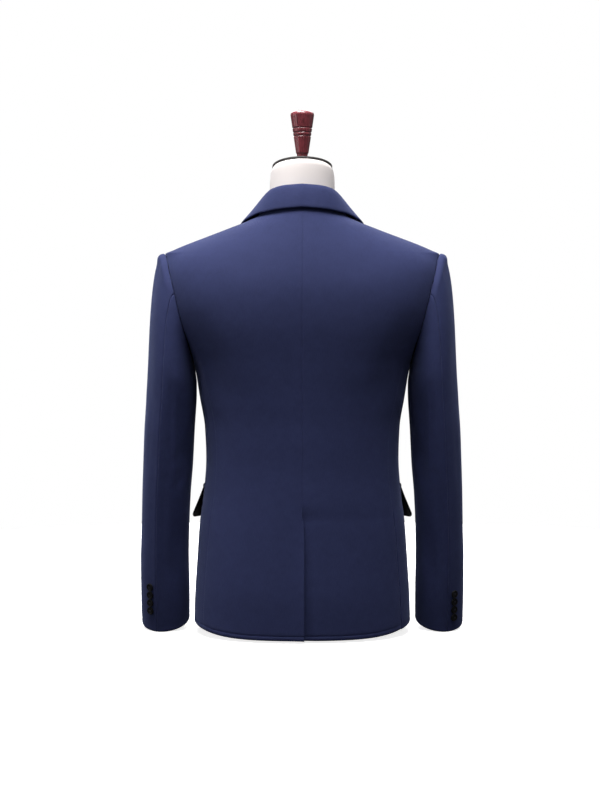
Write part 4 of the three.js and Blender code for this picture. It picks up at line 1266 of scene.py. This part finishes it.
def backdrop():
    """A white dome that only shows behind the object, and neither lights nor shades it."""
    points, faces = lathe([[0, -28], [14, -24.2], [24.2, -14], [28, 0], [24.2, 14], [14, 24.2], [0, 28]], 48)
    mesh = bpy.data.meshes.new("backdrop")
    mesh.from_pydata(points.tolist(), [], faces)
    white, tree, shader = material("white_backdrop", 1.0, specular=0.0)
    shader.inputs["Base Color"].default_value = (0, 0, 0, 1)
    shader.inputs["Emission Color"].default_value = (1, 1, 1, 1)
    shader.inputs["Emission Strength"].default_value = 1.0
    dome = stage_piece("backdrop", mesh, white)
    dome.visible_diffuse = False
    dome.visible_glossy = False
    dome.visible_shadow = False


def soft_light(name, size, power, at, to):
    data = bpy.data.lights.new(name, "AREA")
    data.shape = "RECTANGLE"
    data.size, data.size_y = size
    data.energy = power
    lamp = bpy.data.objects.new(name, data)
    bpy.context.scene.collection.objects.link(lamp)
    lamp.location = at
    aim = Vector(to) - Vector(at)
    lamp.rotation_euler = aim.to_track_quat("-Z", "Y").to_euler()


floor()
backdrop()
def sky():
    """Even light that fades from overhead to the horizon, and is dim below it."""
    world = bpy.data.worlds.new("studio")
    world.use_nodes = True
    tree = world.node_tree
    direction = add_node(tree, "ShaderNodeTexCoord").outputs["Generated"]
    height = add_node(tree, "ShaderNodeSeparateXYZ", {0: direction}).outputs[2]
    share = math_node(tree, "ADD", math_node(tree, "MULTIPLY", height, 0.5), 0.5)
    stops = [(0.0, (0.05, 0.05, 0.05)), (1.0, (0.5, 0.5, 0.5)), (0.45, (0.08, 0.08, 0.08)),
             (0.6, (0.13, 0.13, 0.13))]
    color = ramp(tree, share, stops)
    background = tree.nodes["Background"]
    tree.links.new(color, background.inputs["Color"])
    background.inputs["Strength"].default_value = 1.0
    bpy.context.scene.world = world


sky()
soft_light("overhead", (2.1, 1.15), 138, (0.28, 0.57, 3.0), (0, 0.05, 0.55))
soft_light("front_overhead", (1.5, 0.9), 18, (0, -1.3, 1.8), (0, 0, 0.4))
soft_light("left_back", (0.3, 1.2), 1.9, (1.6, 0.6, 0.5), (0, 0.1, 0.35))
soft_light("left_edge", (0.4, 1.4), 1.8, (1.7, -0.15, 0.7), (0.1, 0, 0.35))
soft_light("right_edge", (0.4, 1.4), 0.4, (-1.7, -0.15, 0.7), (-0.1, 0, 0.35))

DISTANCE = 2.5
EYE = 0.464
FRAME = {"width": 600, "height": 800, "pixel": 1.6 * MM, "middle": 302.3, "horizon": 340}
camera = bpy.data.cameras.new("camera")
camera.sensor_fit = "VERTICAL"
camera.sensor_height = 36
camera.lens = 36 * (DISTANCE / FRAME["pixel"]) / FRAME["height"]
camera.shift_y = -(FRAME["height"] / 2 - FRAME["horizon"]) / FRAME["height"]
camera.shift_x = (FRAME["width"] / 2 - FRAME["middle"]) / FRAME["height"]
eye = bpy.data.objects.new("camera", camera)
bpy.context.scene.collection.objects.link(eye)
eye.location = (0, DISTANCE, EYE)
eye.rotation_euler = (PI / 2, 0, PI)
bpy.context.scene.camera = eye
bpy.context.scene.view_settings.view_transform = "Standard"
